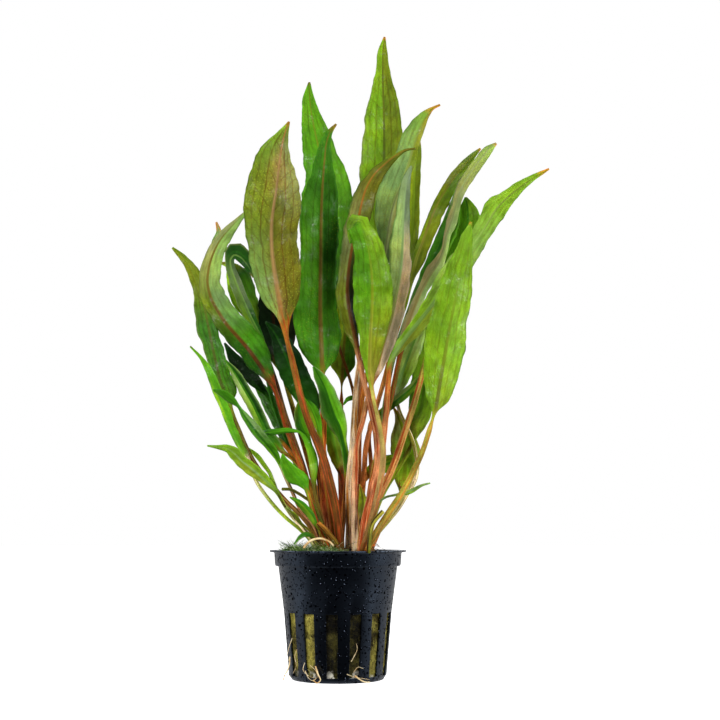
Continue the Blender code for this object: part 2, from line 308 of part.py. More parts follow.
        (-25, 157, 8.8, 10.4), (-26, 166, 9.6, 9.8), (-26, 176, 11.2, 10.4), (-25.2, 183, 12.2, 10.7),
        (-24.4, 188.5, 12, 9.4), (-23.7, 195, 11.3, 7), (-23.2, 200, 10.2, 4.9), (-22.5, 205, 8, 2.8),
        (-21.6, 210, 4, 1.7), (-20.6, 213.5, 1.8, 1), (-19.7, 216.2, 0.4, 0.4)]),
    Leaf("stub_front", "petiole", 9, (-8, -11), (0, 0), 0.0, [
        (-0.2, 50.0, 0.9), (-3.5, 54.2, 1.1), (-7.6, 58.3, 1.0)]),
    Leaf("stub_right", "petiole", 9, (-8, -10), (0, 0), 0.0, [
        (11.6, 48, 0.8), (13.4, 58.3, 0.9), (17.1, 62.6, 0.85)]),
]

# Roots: points x, y, z and a radius, in millimetres
ROOTS = {
    "root_arched": (0.5, [(-12.2, -19.5, 49.0), (-10.8, -19.5, 50.8), (-8.4, -19.5, 52.2), (-6.4, -19.5, 52.5),
                          (-4.2, -19.5, 52.0), (-2.4, -19.5, 51.0), (-1.2, -19.4, 49.7)]),
    "rootlet_left": (0.28, [(-17.6, -10.2, 9), (-17.6, -11.4, 6.4), (-18.2, -11.2, 4.6),
                            (-19.4, -10.8, 2.4), (-19.9, -10.6, 0.6)]),
    "rootlet_front": (0.28, [(-7.8, -17.9, 6.4), (-6.8, -18.9, 3.6), (-6.0, -18.9, 1.4),
                             (-7.2, -18.9, 0.5), (-8.6, -18.6, 1.6)]),
    "rootlet_right": (0.28, [(6.6, -17.4, 3), (8.2, -17.6, 1.7), (9.8, -17.2, 0.8), (12, -16.4, 0.5)]),
}


def smooth(rows, count):
    """Rows of numbers read along a smooth curve through them, count times, evenly from row to row."""
    rows = np.array(rows, float)
    steps = np.maximum(np.linalg.norm(np.diff(rows[:, :2], axis=0), axis=1), 1e-6)
    at = np.concatenate(([0.0], np.cumsum(steps)))
    slopes = np.diff(rows, axis=0) / steps[:, None]
    tangents = np.empty_like(rows)
    tangents[0] = slopes[0]
    tangents[-1] = slopes[-1]
    weight = steps[:, None]
    tangents[1:-1] = (slopes[:-1] * weight[1:] + slopes[1:] * weight[:-1]) / (weight[1:] + weight[:-1])
    spot = np.linspace(0.0, len(rows) - 1.0, count)
    cell = np.minimum(spot.astype(int), len(rows) - 2)
    u = (spot - cell)[:, None]
    run = steps[cell][:, None]
    return ((2 * u**3 - 3 * u**2 + 1) * rows[cell] + (u**3 - 2 * u**2 + u) * run * tangents[cell]
            + (3 * u**2 - 2 * u**3) * rows[cell + 1] + (u**3 - u**2) * run * tangents[cell + 1])


def leaf_rows(leaf):
    """The leaf's points as rows: x, z, left, right, extra depth, half thickness, roll."""
    rows = []
    last = len(leaf.points) - 1
    radius = leaf.points[min(leaf.blade, last + 1) - 1][2]
    for number, point in enumerate(leaf.points):
        x, z, left = point[:3]
        right = point[3] if len(point) > 3 else left
        extra = point[4] if len(point) > 4 else 0.0
        along = (number - leaf.blade) / max(last - leaf.blade, 1)
        if number < leaf.blade:
            thick = left
        else:
            thick = max(BLADE_HALF, radius * 0.75 * (1 - 2.2 * along))
            thick = TIP_HALF if number == last else thick
        roll = leaf.roll[0] + (leaf.roll[1] - leaf.roll[0]) * max(along, 0.0)
        rows.append((x, z, left, right, extra, thick, roll if number >= leaf.blade else 0.0))
    return rows


def leaf_line(leaf, count):
    """The leaf's midline as it is seen, with its widths, depth and the direction across it."""
    line = smooth(leaf_rows(leaf), count)
    line[:, 2:4] = np.maximum(line[:, 2:4], 0.2)
    line[:, 5] = np.maximum(line[:, 5], TIP_HALF)
    run = np.gradient(line[:, :2], axis=0)
    run /= np.linalg.norm(run, axis=1)[:, None]
    across = np.column_stack((run[:, 1], -run[:, 0]))
    length = np.concatenate(([0.0], np.cumsum(np.linalg.norm(np.diff(line[:, :2], axis=0), axis=1))))
    share = length / length[-1]
    depth = leaf.depth[0] + (leaf.depth[1] - leaf.depth[0]) * share**1.6 + line[:, 4]
    return line, across, share, depth


def leaf_grid(leaf, line, across, depth, v):
    """Points over the leaf, seen x and z and depth, for each station and each share v across it."""
    half = np.where(v[None, :] < 0, line[:, 2:3], line[:, 3:4])
    seen = line[:, None, :2] + across[:, None, :] * (v * half)[:, :, None]
    turn = np.tan(np.radians(line[:, 6:7]))
    flat = (line[:, 5:6] < 0.98 * np.maximum(line[:, 2:3], 0.2)).astype(float)
    back = depth[:, None] + half * (v * turn + leaf.fold * np.abs(v) ** 1.5 * flat)
    return np.dstack((seen, back))


def cells(points):
    place = ((points - FIELD_LOW) / CELL).astype(int)
    return np.clip(place[..., 0], 1, FIELD_CELLS[0] - 2), np.clip(place[..., 1], 1, FIELD_CELLS[1] - 2)


def eased(need, length):
    """The least push that covers every need and nowhere changes faster than the slope allows."""
    push = need.copy()
    step = PUSH_SLOPE * np.diff(length)
    for k in range(1, len(push)):
        push[k] = max(push[k], push[k - 1] - step[k - 1])
    for k in range(len(push) - 2, -1, -1):
        push[k] = max(push[k], push[k + 1] - step[k])
    reach = 15
    padded = np.pad(push, 2 * reach, mode="edge")
    widest = np.lib.stride_tricks.sliding_window_view(padded, 2 * reach + 1).max(axis=1)
    return np.lib.stride_tricks.sliding_window_view(widest, 2 * reach + 1).mean(axis=1)


def stack_leaves(leaves):
    """How far forward each leaf moves to lie in front of those behind it: name to share and push."""
    front = np.full(FIELD_CELLS, 1000.0)
    pushes = {}
    across_leaf = np.linspace(-1.0, 1.0, 61)
    for leaf in leaves:
        line, across, share, depth = leaf_line(leaf, 900)
        grid = leaf_grid(leaf, line, across, depth, across_leaf)
        i, j = cells(grid[:, :, :2])
        thick = 1.12 * line[:, 5:6] * np.sqrt(1.02 - across_leaf**2)
        need = np.maximum((grid[:, :, 2] + thick - front[i, j] + LEAF_GAP).max(axis=1), 0.0)
        length = np.concatenate(([0.0], np.cumsum(np.linalg.norm(np.diff(line[:, :2], axis=0), axis=1))))
        push = eased(need, length)
        near = grid[:, :, 2] - push[:, None] - thick
        for di in (-1, 0, 1):
            for dj in (-1, 0, 1):
                np.minimum.at(front, (i + di, j + dj), near)
        pushes[leaf.name] = (share, push)
    return pushes


def placed(grid):
    """Seen points and depths to real points: along the line of sight, out to the depth."""
    seen = np.stack((grid[..., 0], np.zeros(grid.shape[:-1]), grid[..., 1]), axis=-1)
    reach = (grid[..., 2:3] - EYE[1]) / -EYE[1]
    return EYE + (seen - EYE) * reach


def leaf_rings(leaf, pushes, count, sides):
    """Closed sections along the leaf: round on the petiole, flat on the blade."""
    line, across, share, depth = leaf_line(leaf, count)
    known_share, push = pushes[leaf.name]
    depth = depth - np.interp(share, known_share, push)
    angle = 2 * np.pi * np.arange(sides) / sides
    v = np.cos(angle)
    surface = placed(leaf_grid(leaf, line, across, depth, v))
    middle = placed(leaf_grid(leaf, line, across, depth, np.array((-0.3, 0.0, 0.3))))
    along = np.gradient(middle[:, 1], axis=0)
    normal = np.cross(along, middle[:, 2] - middle[:, 0])
    normal /= np.linalg.norm(normal, axis=1)[:, None]
    return surface + normal[:, None, :] * (np.sin(angle)[None, :, None] * line[:, None, 5:6])


def new_object(name, colour, points, faces):
    mesh = bpy.data.meshes.new(name)
    mesh.from_pydata([tuple(p) for p in np.asarray(points) * MM], [], faces)
    builder = bmesh.new()
    builder.from_mesh(mesh)
    bmesh.ops.recalc_face_normals(builder, faces=builder.faces)
    builder.to_mesh(mesh)
    builder.free()
    mesh.shade_smooth()
    mesh.set_sharp_from_angle(angle=0.7)
    mesh.materials.append(material(colour))
    item = bpy.data.objects.new(name, mesh)
    bpy.context.scene.collection.objects.link(item)
    return item


def material(name):
    found = bpy.data.materials.get(name)
    if found:
        return found
    made = bpy.data.materials.new(name)
    made.use_nodes = True
    shader = made.node_tree.nodes["Principled BSDF"]
    shader.inputs["Base Color"].default_value = (*COLOURS[name], 1.0)
    shader.inputs["Roughness"].default_value = 0.35 if name == "pot" else 0.5
    return made


def tube_faces(stations, sides):
    faces = []
    for ring in range(stations - 1):
        for side in range(sides):
            after = (side + 1) % sides
            faces.append((ring * sides + side, ring * sides + after,
                          (ring + 1) * sides + after, (ring + 1) * sides + side))
    faces.append(tuple(range(sides)))
    faces.append(tuple((stations - 1) * sides + side for side in range(sides)))
    return faces


def add_leaves():
    pushes = stack_leaves(LEAVES)
    sides = 6
    for leaf in LEAVES:
        count = max(5, round(len(leaf.points) * 0.78) + 2)
        rings = leaf_rings(leaf, pushes, count, sides)
        new_object(leaf.name, leaf.colour, rings.reshape(-1, 3), tube_faces(count, sides))


def add_roots():
    sides = 5
    angle = 2 * np.pi * np.arange(sides) / sides
    for name, (radius, points) in ROOTS.items():
        count = 2 * len(points) - 1
        line = smooth([(p[0], p[2], p[1]) for p in points], count)[:, (0, 2, 1)]
        run = np.gradient(line, axis=0)
        run /= np.linalg.norm(run, axis=1)[:, None]
        side = np.cross(run, (0.0, 1.0, 0.0))
        side /= np.linalg.norm(side, axis=1)[:, None]
        other = np.cross(run, side)
        taper = radius * (1 - 0.35 * np.linspace(0, 1, count))[:, None, None]
        rings = line[:, None] + taper * (np.cos(angle)[None, :, None] * side[:, None]
                                         + np.sin(angle)[None, :, None] * other[:, None])
        new_object(name, "root", rings.reshape(-1, 3), tube_faces(count, sides))


def wall_radius(z):
    """Outer radius of the pot's body at height z, below its collar."""
    return np.interp(z, (0.0, 1.6, SLOT_TOP, COLLAR_FOOT),
                     (BASE_RADIUS - 0.8, BASE_RADIUS + 0.4, SLOT_TOP_RADIUS, BODY_TOP_RADIUS))


def add_pot():
    """The pot's wall section carried round, with the wall left out where the slots are."""
    outer = [(wall_radius(z), z) for z in (0.0, SLOT_FOOT, SLOT_TOP, COLLAR_FOOT)]
    outer += [(COLLAR_RADIUS - 0.4, COLLAR_FOOT + 0.3), (COLLAR_RADIUS, POT_HEIGHT - LIP_THICKNESS),
              (LIP_RADIUS, POT_HEIGHT - LIP_THICKNESS), (LIP_RADIUS, POT_HEIGHT)]
    inner = [(COLLAR_RADIUS - WALL, POT_HEIGHT), (COLLAR_RADIUS - WALL - 0.4, COLLAR_FOOT + 1.2),
             (BODY_TOP_RADIUS - WALL, COLLAR_FOOT), (wall_radius(SLOT_TOP) - WALL, SLOT_TOP),
             (wall_radius(SLOT_FOOT) - WALL, SLOT_FOOT), (wall_radius(FLOOR) - WALL - 0.3, FLOOR)]
    section = outer + inner
    foot_out, top_out = 1, 2
    top_in, foot_in = len(outer) + 3, len(outer) + 4
    pitch = 360.0 / SLOT_COUNT
    marks = (-SLOT_WIDTH_DEG / 2, 0.0, SLOT_WIDTH_DEG / 2, pitch / 2)
    angles = [SLOT_PHASE_DEG - 90.0 + pitch * slot + mark for slot in range(SLOT_COUNT) for mark in marks]
    points = [(r * np.cos(a), r * np.sin(a), z) for a in np.radians(angles) for r, z in section]
    size = len(section)
    columns = len(angles)
    faces = []
    for column in range(columns):
        here = column * size
        there = (column + 1) % columns * size
        in_slot = column % len(marks) < 2
        for low in range(size - 1):
            if in_slot and low in (foot_out, top_in):
                continue
            faces.append((here + low, there + low, there + low + 1, here + low + 1))
        if in_slot:
            faces.append((here + foot_out, there + foot_out, there + foot_in, here + foot_in))
            faces.append((here + top_out, there + top_out, there + top_in, here + top_in))
        if column % len(marks) in (0, 2):
            faces.append((here + foot_out, here + top_out, here + top_in, here + foot_in))
    under = len(points)
    points += [(0.0, 0.0, 0.0), (0.0, 0.0, FLOOR)]
    for column in range(columns):
        here = column * size
        there = (column + 1) % columns * size
        faces.append((under, here, there))
        faces.append((under + 1, here + size - 1, there + size - 1))
    new_object("pot", "pot", points, faces)


def turned(name, colour, section, sides, centre=(0.0, 0.0), squash=1.0):
    """A solid turned about an upright axis from a section that starts and ends on the axis."""
    angle = 2 * np.pi * np.arange(sides) / sides
    points = []
    for r, z in section[1:-1]:
        points += [(centre[0] + r * np.cos(a), centre[1] + r * squash * np.sin(a), z) for a in angle]
    faces = []
    rings = len(section) - 2
    for ring in range(rings - 1):
        for side in range(sides):
            after = (side + 1) % sides
            faces.append((ring * sides + side, ring * sides + after,
                          (ring + 1) * sides + after, (ring + 1) * sides + side))
    poles = len(points)
    points += [(*centre, section[0][1]), (*centre, section[-1][1])]
    for side in range(sides):
        after = (side + 1) % sides
        faces.append((poles, side, after))
        faces.append((poles + 1, (rings - 1) * sides + side, (rings - 1) * sides + after))
    new_object(name, colour, points, faces)


def add_wool():
    low = FLOOR + GAP
    edge = WALL + 0.6
    section = [(0.0, low), (wall_radius(low) - edge - 0.4, low), (wall_radius(SLOT_TOP) - edge, SLOT_TOP),
               (wall_radius(COLLAR_FOOT) - edge, COLLAR_FOOT - 1.0), (BODY_TOP_RADIUS - 3.0, WOOL_TOP),
               (0.0, WOOL_TOP)]
    turned("wool_plug", "wool", section, 28)


def add_crown():
    low = WOOL_TOP + GAP
    section = [(0.0, low), (CROWN_RADIUS - 1.5, low), (CROWN_RADIUS, low + 1.2),
               (CROWN_RADIUS - 1.5, CROWN_TOP - 0.3), (0.0, CROWN_TOP)]
    turned("crown", "crown", section, 24, centre=CROWN_CENTRE)


def add_moss():
    """A cushion between the crown and the pot's wall, from the back round the left to the front."""
    spans = 18
    low = WOOL_TOP + GAP
    points = []
    for number in range(spans + 1):
        share = number / spans
        angle = np.radians(MOSS_START_DEG + (MOSS_END_DEG - MOSS_START_DEG) * share)
        way = np.array((np.cos(angle), np.sin(angle)))
        inner = np.array(CROWN_CENTRE) + way * (CROWN_RADIUS + 0.4)
        outer = way * MOSS_OUTER
        top = low + 1.2 + 4.6 * np.sin(np.pi * min(share * 1.2, 1.0)) ** 0.6
        top = min(top, 48.4) if share > 0.62 else top
        points.append((*inner, low))
        points.append((*(outer - 0.9 * way), low + 0.2))
        points.append((*(outer - 0.2 * way), max(top - 1.2, low + 0.8)))
        points.append((*(0.5 * inner + 0.5 * outer), top))
        points.append((*(inner + 0.5 * way), max(top - 0.9, low + 0.8)))
    new_object("moss_cushion", "moss", points, tube_faces(spans + 1, 5))


def main():
    for item in list(bpy.data.objects):
        bpy.data.objects.remove(item, do_unlink=True)
    add_pot()
    add_wool()
    add_crown()
    add_moss()
    add_roots()
    add_leaves()


main()
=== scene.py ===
from collections import namedtuple
from functools import partial

import bmesh
import bpy
import numpy as np
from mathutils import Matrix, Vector


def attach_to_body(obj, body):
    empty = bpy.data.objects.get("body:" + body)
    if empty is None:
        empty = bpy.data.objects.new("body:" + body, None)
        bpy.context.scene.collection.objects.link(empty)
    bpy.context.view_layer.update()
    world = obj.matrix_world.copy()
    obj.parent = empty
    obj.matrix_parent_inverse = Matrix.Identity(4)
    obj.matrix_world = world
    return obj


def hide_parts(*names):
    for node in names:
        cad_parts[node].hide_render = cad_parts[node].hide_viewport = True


# A cryptocoryne in its net pot: 51 leaves and cut stalks round a crown, in wool, in a black slotted pot.
# Lengths in the settings are millimetres, and mm turns them to metres where a mesh is made.
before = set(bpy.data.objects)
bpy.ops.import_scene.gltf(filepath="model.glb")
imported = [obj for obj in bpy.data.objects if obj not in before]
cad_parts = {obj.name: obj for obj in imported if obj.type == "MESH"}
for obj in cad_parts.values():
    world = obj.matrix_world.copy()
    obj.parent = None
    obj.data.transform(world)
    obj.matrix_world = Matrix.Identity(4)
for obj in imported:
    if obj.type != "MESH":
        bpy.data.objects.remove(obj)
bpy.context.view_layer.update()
mm = 0.001
print("frame loaded:", len(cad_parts), "nodes")

scene = bpy.context.scene
scene.view_settings.view_transform = "Standard"
scene.view_settings.look = "None"

# Camera, just above the pot's rim and tilted up a little
cameraSettings = {
    "place": (8.4, -520.0, 56.0),
    "tiltDeg": 97.12,
    "lens": 67.6,
    "sensor": 36.0,
    "nearest": 10.0,
}


def newObject(name, data):
    item = bpy.data.objects.new(name, data)
    scene.collection.objects.link(item)
    return item


def addCamera():
    data = bpy.data.cameras.new("studioCamera")
    data.lens = cameraSettings["lens"]
    data.sensor_width = cameraSettings["sensor"]
    data.clip_start = cameraSettings["nearest"] * mm
    item = newObject("studioCamera", data)
    item.location = Vector(cameraSettings["place"]) * mm
    item.rotation_euler = (np.radians(cameraSettings["tiltDeg"]), 0, 0)
    scene.camera = item


# Light: a white room, dark on the viewer's side, with soft boxes at the front corners, sides, top and back
lightSettings = {
    "roomFront": 0.03,
    "roomSides": 0.52,
    "roomEdges": (-0.62, -0.12),  # how far towards the viewer the room is dark, and where it is white
    "backdrop": 1.0,
    "aim": (5, 0, 120),
    "boxes": [  # name, place, width, watts
        ("boxLeft", (-430, -600, 250), 280, 4.1),
        ("boxRight", (440, -600, 230), 280, 4.1),
        ("boxTop", (-60, -200, 780), 360, 0.9),
        ("boxBehind", (120, 640, 460), 420, 1.4),
        ("boxFarLeft", (-640, -120, 140), 300, 2.0),
        ("boxFarRight", (640, -120, 140), 300, 2.4),
    ],
    "floorRadius": 4000,
    "floorCorners": 64,
    "floorGlow": 0.9,
    "floorDrop": 0.15,
}


def addLights():
    s = lightSettings
    world = bpy.data.worlds.new("whiteStudio")
    world.use_nodes = True
    tree = world.node_tree
    add = partial(addNode, tree)
    depth = add("SeparateXYZ", (add("TexCoord"),), output=1)
    room = add("MapRange", (depth, *s["roomEdges"], s["roomFront"], s["roomSides"]), **smooth)
    light, backdrop = (add("Background", {"Color": (1, 1, 1, 1), "Strength": strength})
                       for strength in (room, s["backdrop"]))
    both = add("MixShader", (add("LightPath"), light, backdrop))
    setSockets(tree, tree.nodes["World Output"], {"Surface": both})
    scene.world = world
    aim = Vector(s["aim"])
    for name, place, width, watts in s["boxes"]:
        data = bpy.data.lights.new(name, "AREA")
        data.shape = "SQUARE"
        data.size = width * mm
        data.energy = watts
        item = newObject(name, data)
        item.location = Vector(place) * mm
        item.rotation_euler = (aim - Vector(place)).to_track_quat("-Z", "Y").to_euler()


def linear(hexColour):
    # sRGB hex to linear light: a straight line up to 0.04045, a 2.4 power above it
    parts = np.array([int(hexColour[k:k + 2], 16) for k in (1, 3, 5)]) / 255
    return np.where(parts <= 0.04045, parts / 12.92, ((parts + 0.055) / 1.055) ** 2.4)


def rgba(hexColour, share=1.0):
    return (*(linear(hexColour) * share), 1.0)


# Mesh making: grids and tubes as whole arrays
def evenAngles(count):
    return 2 * np.pi * np.arange(count) / count


def direction(angle):
    # the unit vector at each angle
    return np.stack((np.cos(angle), np.sin(angle)), axis=-1)


def ringQuads(stations, sides):
    # quads between neighbouring rings
    ring = np.arange(stations - 1)[:, None] * sides
    side = np.arange(sides)[None, :]
    after = (side + 1) % sides
    return np.stack((ring + side, ring + after, ring + sides + after, ring + sides + side), -1).reshape(-1, 4)


def makeMesh(name, points, quads, others):
    # quads first, then the faces of another size; points in millimetres
    mesh = bpy.data.meshes.new(name)
    sizes = np.concatenate((np.full(len(quads), 4), np.full(len(others), len(others[0]))))
    corners = np.concatenate((np.ravel(quads), np.ravel(others)))
    mesh.vertices.add(len(points))
    mesh.vertices.foreach_set("co", np.ravel(points * mm).astype(np.float32))
    mesh.loops.add(len(corners))
    mesh.loops.foreach_set("vertex_index", corners.astype(np.int32))
    mesh.polygons.add(len(sizes))
    mesh.polygons.foreach_set("loop_start", (np.cumsum(sizes) - sizes).astype(np.int32))
    mesh.update(calc_edges=True)
    mesh.validate()
    mesh.polygons.foreach_set("use_smooth", np.ones(len(sizes), bool))
    return newObject(name, mesh)


def closedTube(name, points, poles=None):
    # rings joined by quads, a fan of triangles to the pole at each end, and every face turned outwards
    stations, sides = points.shape[:2]
    if poles is None:
        poles = np.stack((points[0].mean(axis=0), points[-1].mean(axis=0)))
    points = np.concatenate((points.reshape(-1, 3), poles))
    quads = ringQuads(stations, sides)
    side = np.arange(sides)
    after = (side + 1) % sides
    last = (stations - 1) * sides
    pole = stations * sides
    fans = np.concatenate((np.stack((np.full(sides, pole), after, side), -1),
                           np.stack((np.full(sides, pole + 1), last + side, last + after), -1)))
    a, b, c, d = (points[quads[:, k]] for k in range(4))
    if (np.cross(b - a, c - a) * a).sum() + (np.cross(c - a, d - a) * a).sum() < 0:
        quads, fans = quads[:, ::-1], fans[:, ::-1]
    return makeMesh(name, points, quads, fans)


def strands(name, paths, radii, sides=3):
    # a tube round each path: the ring at each step stands square to the path's direction there
    run = np.gradient(paths, axis=1)
    run /= np.linalg.norm(run, axis=2, keepdims=True) + 1e-9
    guide = np.where(np.abs(run[..., 2:3]) < 0.9, np.array((0.0, 0.0, 1.0)), np.array((1.0, 0.0, 0.0)))
    one = np.cross(run, guide)
    one /= np.linalg.norm(one, axis=2, keepdims=True) + 1e-9
    two = np.cross(run, one)
    angle = evenAngles(sides)
    ring = (np.cos(angle)[:, None] * one[:, :, None] + np.sin(angle)[:, None] * two[:, :, None])
    points = paths[:, :, None] + radii[:, :, None, None] * ring
    count, steps = paths.shape[:2]
    base = np.arange(count)[:, None] * steps * sides
    quads = (base[:, None] + ringQuads(steps, sides)).reshape(-1, 4)
    foot = base + np.arange(sides)[::-1]
    tip = base + (steps - 1) * sides + np.arange(sides)
    return makeMesh(name, points.reshape(-1, 3), quads, np.concatenate((foot, tip)))


def attach(item, name, values):
    # one colour or three numbers for each vertex
    kind, field = ("FLOAT_COLOR", "color") if values.shape[1] == 4 else ("FLOAT_VECTOR", "vector")
    layer = item.data.attributes.new(name, kind, "POINT")
    layer.data.foreach_set(field, np.ravel(values).astype(np.float32))


def ripple(points, wavelength, seed):
    # a smooth uneven field about -1 to 1: the mean of cosines in random directions and wavelengths
    count = 14
    dice = np.random.default_rng(seed)
    way = dice.normal(size=(count, 3))
    way /= np.linalg.norm(way, axis=1)[:, None]
    way *= 2 * np.pi / (wavelength * dice.uniform(0.7, 1.5, count))[:, None]
    phase = dice.uniform(0, 2 * np.pi, count)
    return np.cos(points @ way.T + phase).sum(axis=-1) / np.sqrt(count / 2) * 0.6


# Material making: settings that many nodes share, and the one function that adds a node
smooth = {"interpolation_type": "SMOOTHSTEP"}
mixed = {"output": 2, "data_type": "RGBA"}
multiplied = {**mixed, "blend_type": "MULTIPLY"}


def setSockets(tree, node, inputs):
    # each socket, by its order or its name, takes a value or a link from another node's output
    for socket, value in inputs.items() if isinstance(inputs, dict) else enumerate(inputs):
        if isinstance(value, bpy.types.NodeSocket):
            tree.links.new(value, node.inputs[socket])
        else:
            node.inputs[socket].default_value = value


def addNode(tree, kind, inputs=(), output=0, **settings):
    # a node with its settings and inputs; gives one of its outputs
    node = tree.nodes.new("ShaderNode" + kind)
    for setting, value in settings.items():
        setattr(node, setting, value)
    setSockets(tree, node, inputs)
    return node.outputs[output]


def newMaterial(name):
    # a material, and addNode for its own nodes
    made = bpy.data.materials.new(name)
    made.use_nodes = True
    return made, partial(addNode, made.node_tree)


def setShader(made, sockets):
    setSockets(made.node_tree, made.node_tree.nodes["Principled BSDF"], sockets)
    return made


# Leaf skin: a waxy cuticle over green tissue. Each skin reads six attributes of its leaf:
# tint and ribTint, colours; vein: mm across from the midrib, share across, mm along;
# form: the midrib's half width, the half blade and how much of a blade it is;
# marks: how strong the veins, the mottling and the pale dots are;
# grain: mm across, mm through the thickness and mm along.
skinSettings = {
    "leafUpperSkin": {"roughness": 0.46, "film": 0.75, "filmRoughness": 0.24},
    "leafUnderSkin": {"roughness": 0.52, "film": 0.60, "filmRoughness": 0.27},
}
veinSettings = {
    "sideVeins": [(0.40, 0.85), (0.73, 0.6)],  # share across the half blade, strength
    "sideWidth": (0.12, 0.46),  # mm: full strength within the first, none beyond the second
    "crossSpacing": 6.2,
    "crossSlant": 1.25,
    "crossWidth": (0.10, 0.34),
    "crossStrength": 0.70,
    "netCell": 1.5,
    "netStrength": 0.26,
    "dotSpacing": 1.3,  # mm between pale dots
    "dotSize": (0.08, 0.17),  # share of that spacing
}


def leafSkin(name):
    skin, s = skinSettings[name], veinSettings
    made, add = newMaterial(name)
    place = add("TexCoord", output=3)
    tint, ribTint = (add("Attribute", attribute_name=mark) for mark in ("tint", "ribTint"))
    vein, form, marks, grain = (add("Attribute", output=1, attribute_name=mark)
                                for mark in ("vein", "form", "marks", "grain"))
    across, share, along, ribWidth, halfBlade, leafness, veins, mottling, dots = (
        add("SeparateXYZ", (source,), output=k) for source in (vein, form, marks) for k in range(3))
    # slow, medium and fine unevenness: 14 mm, 2.6 mm and 0.5 mm
    slow, medium, fine = (add("TexNoise", {"Vector": place, "Scale": scale, "Detail": detail})
                          for scale, detail in ((70.0, 2.0), (380.0, 3.0), (2000.0, 2.0)))
    # midrib
    fromRib = add("Math", (across,), operation="ABSOLUTE")
    rib = add("Math", (fromRib, ribWidth), operation="DIVIDE")
    rib = add("MapRange", (rib, 0.55, 1.2, 1.0, 0.0), **smooth)
    # veins along the blade, each at its share of the half width, wandering a little; none on narrow blades
    wander = add("MapRange", (slow, 0.0, 1.0, -0.09, 0.09))
    fromMiddle = add("Math", (share,), operation="ABSOLUTE")
    fromMiddle = add("Math", (fromMiddle, wander), operation="ADD")
    wide = add("MapRange", (halfBlade, 1.4, 3.6, 0.0, 1.0))
    lines = []
    for spot, strength in s["sideVeins"]:
        offset = add("Math", (fromMiddle, spot), operation="SUBTRACT")
        offset = add("Math", (offset,), operation="ABSOLUTE")
        offset = add("Math", (offset, halfBlade), operation="MULTIPLY")
        lines.append(add("MapRange", (offset, *s["sideWidth"], strength, 0.0), **smooth))
    sideLines = add("Math", lines, operation="MAXIMUM")
    sideLines = add("Math", (sideLines, wide), operation="MULTIPLY")
    # slanting cross veins, set off by the slow and the medium unevenness
    steps = add("Math", (fromRib, -s["crossSlant"], along), operation="MULTIPLY_ADD")
    steps = add("Math", (steps, 1 / s["crossSpacing"], slow), operation="MULTIPLY_ADD")
    steps = add("Math", (medium, 0.45, steps), operation="MULTIPLY_ADD")
    folds = (("FRACT", 0.0), ("SUBTRACT", 0.5), ("ABSOLUTE", 0.0), ("MULTIPLY", s["crossSpacing"]))
    for operation, number in folds:
        steps = add("Math", (steps, number), operation=operation)
    crossLines = add("MapRange", (steps, *s["crossWidth"], s["crossStrength"], 0.0), **smooth)
    crossLines = add("Math", (crossLines, wide), operation="MULTIPLY")
    # the finest net between them, and the cells that the pale dots stand in
    flat = add("CombineXYZ", (across, along, 0.0))
    net, dotField = (
        add("TexVoronoi", {"Vector": flat, "Scale": 1 / s[size]}, voronoi_dimensions="2D", feature=feature)
        for size, feature in (("netCell", "DISTANCE_TO_EDGE"), ("dotSpacing", "F1")))
    netLines = add("MapRange", (net, 0.03, 0.12, s["netStrength"], 0.0), **smooth)
    veinMask = add("Math", (sideLines, crossLines), operation="MAXIMUM")
    veinMask = add("Math", (veinMask, netLines), operation="MAXIMUM")
    broken = add("MapRange", (medium, 0.34, 0.52, 0.40, 1.0))
    for part in (veins, broken):
        veinMask = add("Math", (veinMask, part), operation="MULTIPLY")
    # tissue: lighter and darker in slow patches, in runs 1.6 mm wide and 6 mm long, and in fine grains
    runs = add("Mapping", {"Vector": grain, "Scale": (0.62, 0.62, 0.16)})
    runs = add("TexNoise", {"Vector": runs, "Scale": 1.0, "Detail": 2.5, "Roughness": 0.6})
    slowShade = add("MapRange", (slow, 0.37, 0.63, 0.78, 1.22))
    cellShade = add("MapRange", (runs, 0.36, 0.64, 0.72, 1.28))
    fineShade = add("MapRange", (fine, 0.36, 0.64, 0.90, 1.10))
    shade = add("Math", (cellShade, fineShade), operation="MULTIPLY")
    shade = add("Math", (shade, slowShade), operation="MULTIPLY")
    tissue = add("Mix", {0: mottling, 6: tint, 7: shade}, **multiplied)
    # yellower where the slow unevenness is high, and dotted there too
    yellower = add("MapRange", (slow, 0.44, 0.66, 0.0, 0.65))
    yellower = add("Math", (yellower, mottling), operation="MULTIPLY")
    tissue = add("Mix", {0: yellower, 6: tissue, 7: (1.22, 0.95, 0.55, 1.0)}, **multiplied)
    dotMask = add("MapRange", (dotField, *s["dotSize"], 0.9, 0.0))
    dotted = add("MapRange", (slow, 0.44, 0.58, 0.0, 1.0))
    for part in (dots, dotted):
        dotMask = add("Math", (dotMask, part), operation="MULTIPLY")
    tissue = add("Mix", {0: dotMask, 6: tissue, 7: rgba("#b8c832", 0.9)}, **mixed)
    veinTint = add("Mix", {0: 1.0, 6: tissue, 7: (0.66, 0.36, 0.30, 1.0)}, **multiplied)
    blade = add("Mix", {0: veinMask, 6: tissue, 7: veinTint}, **mixed)
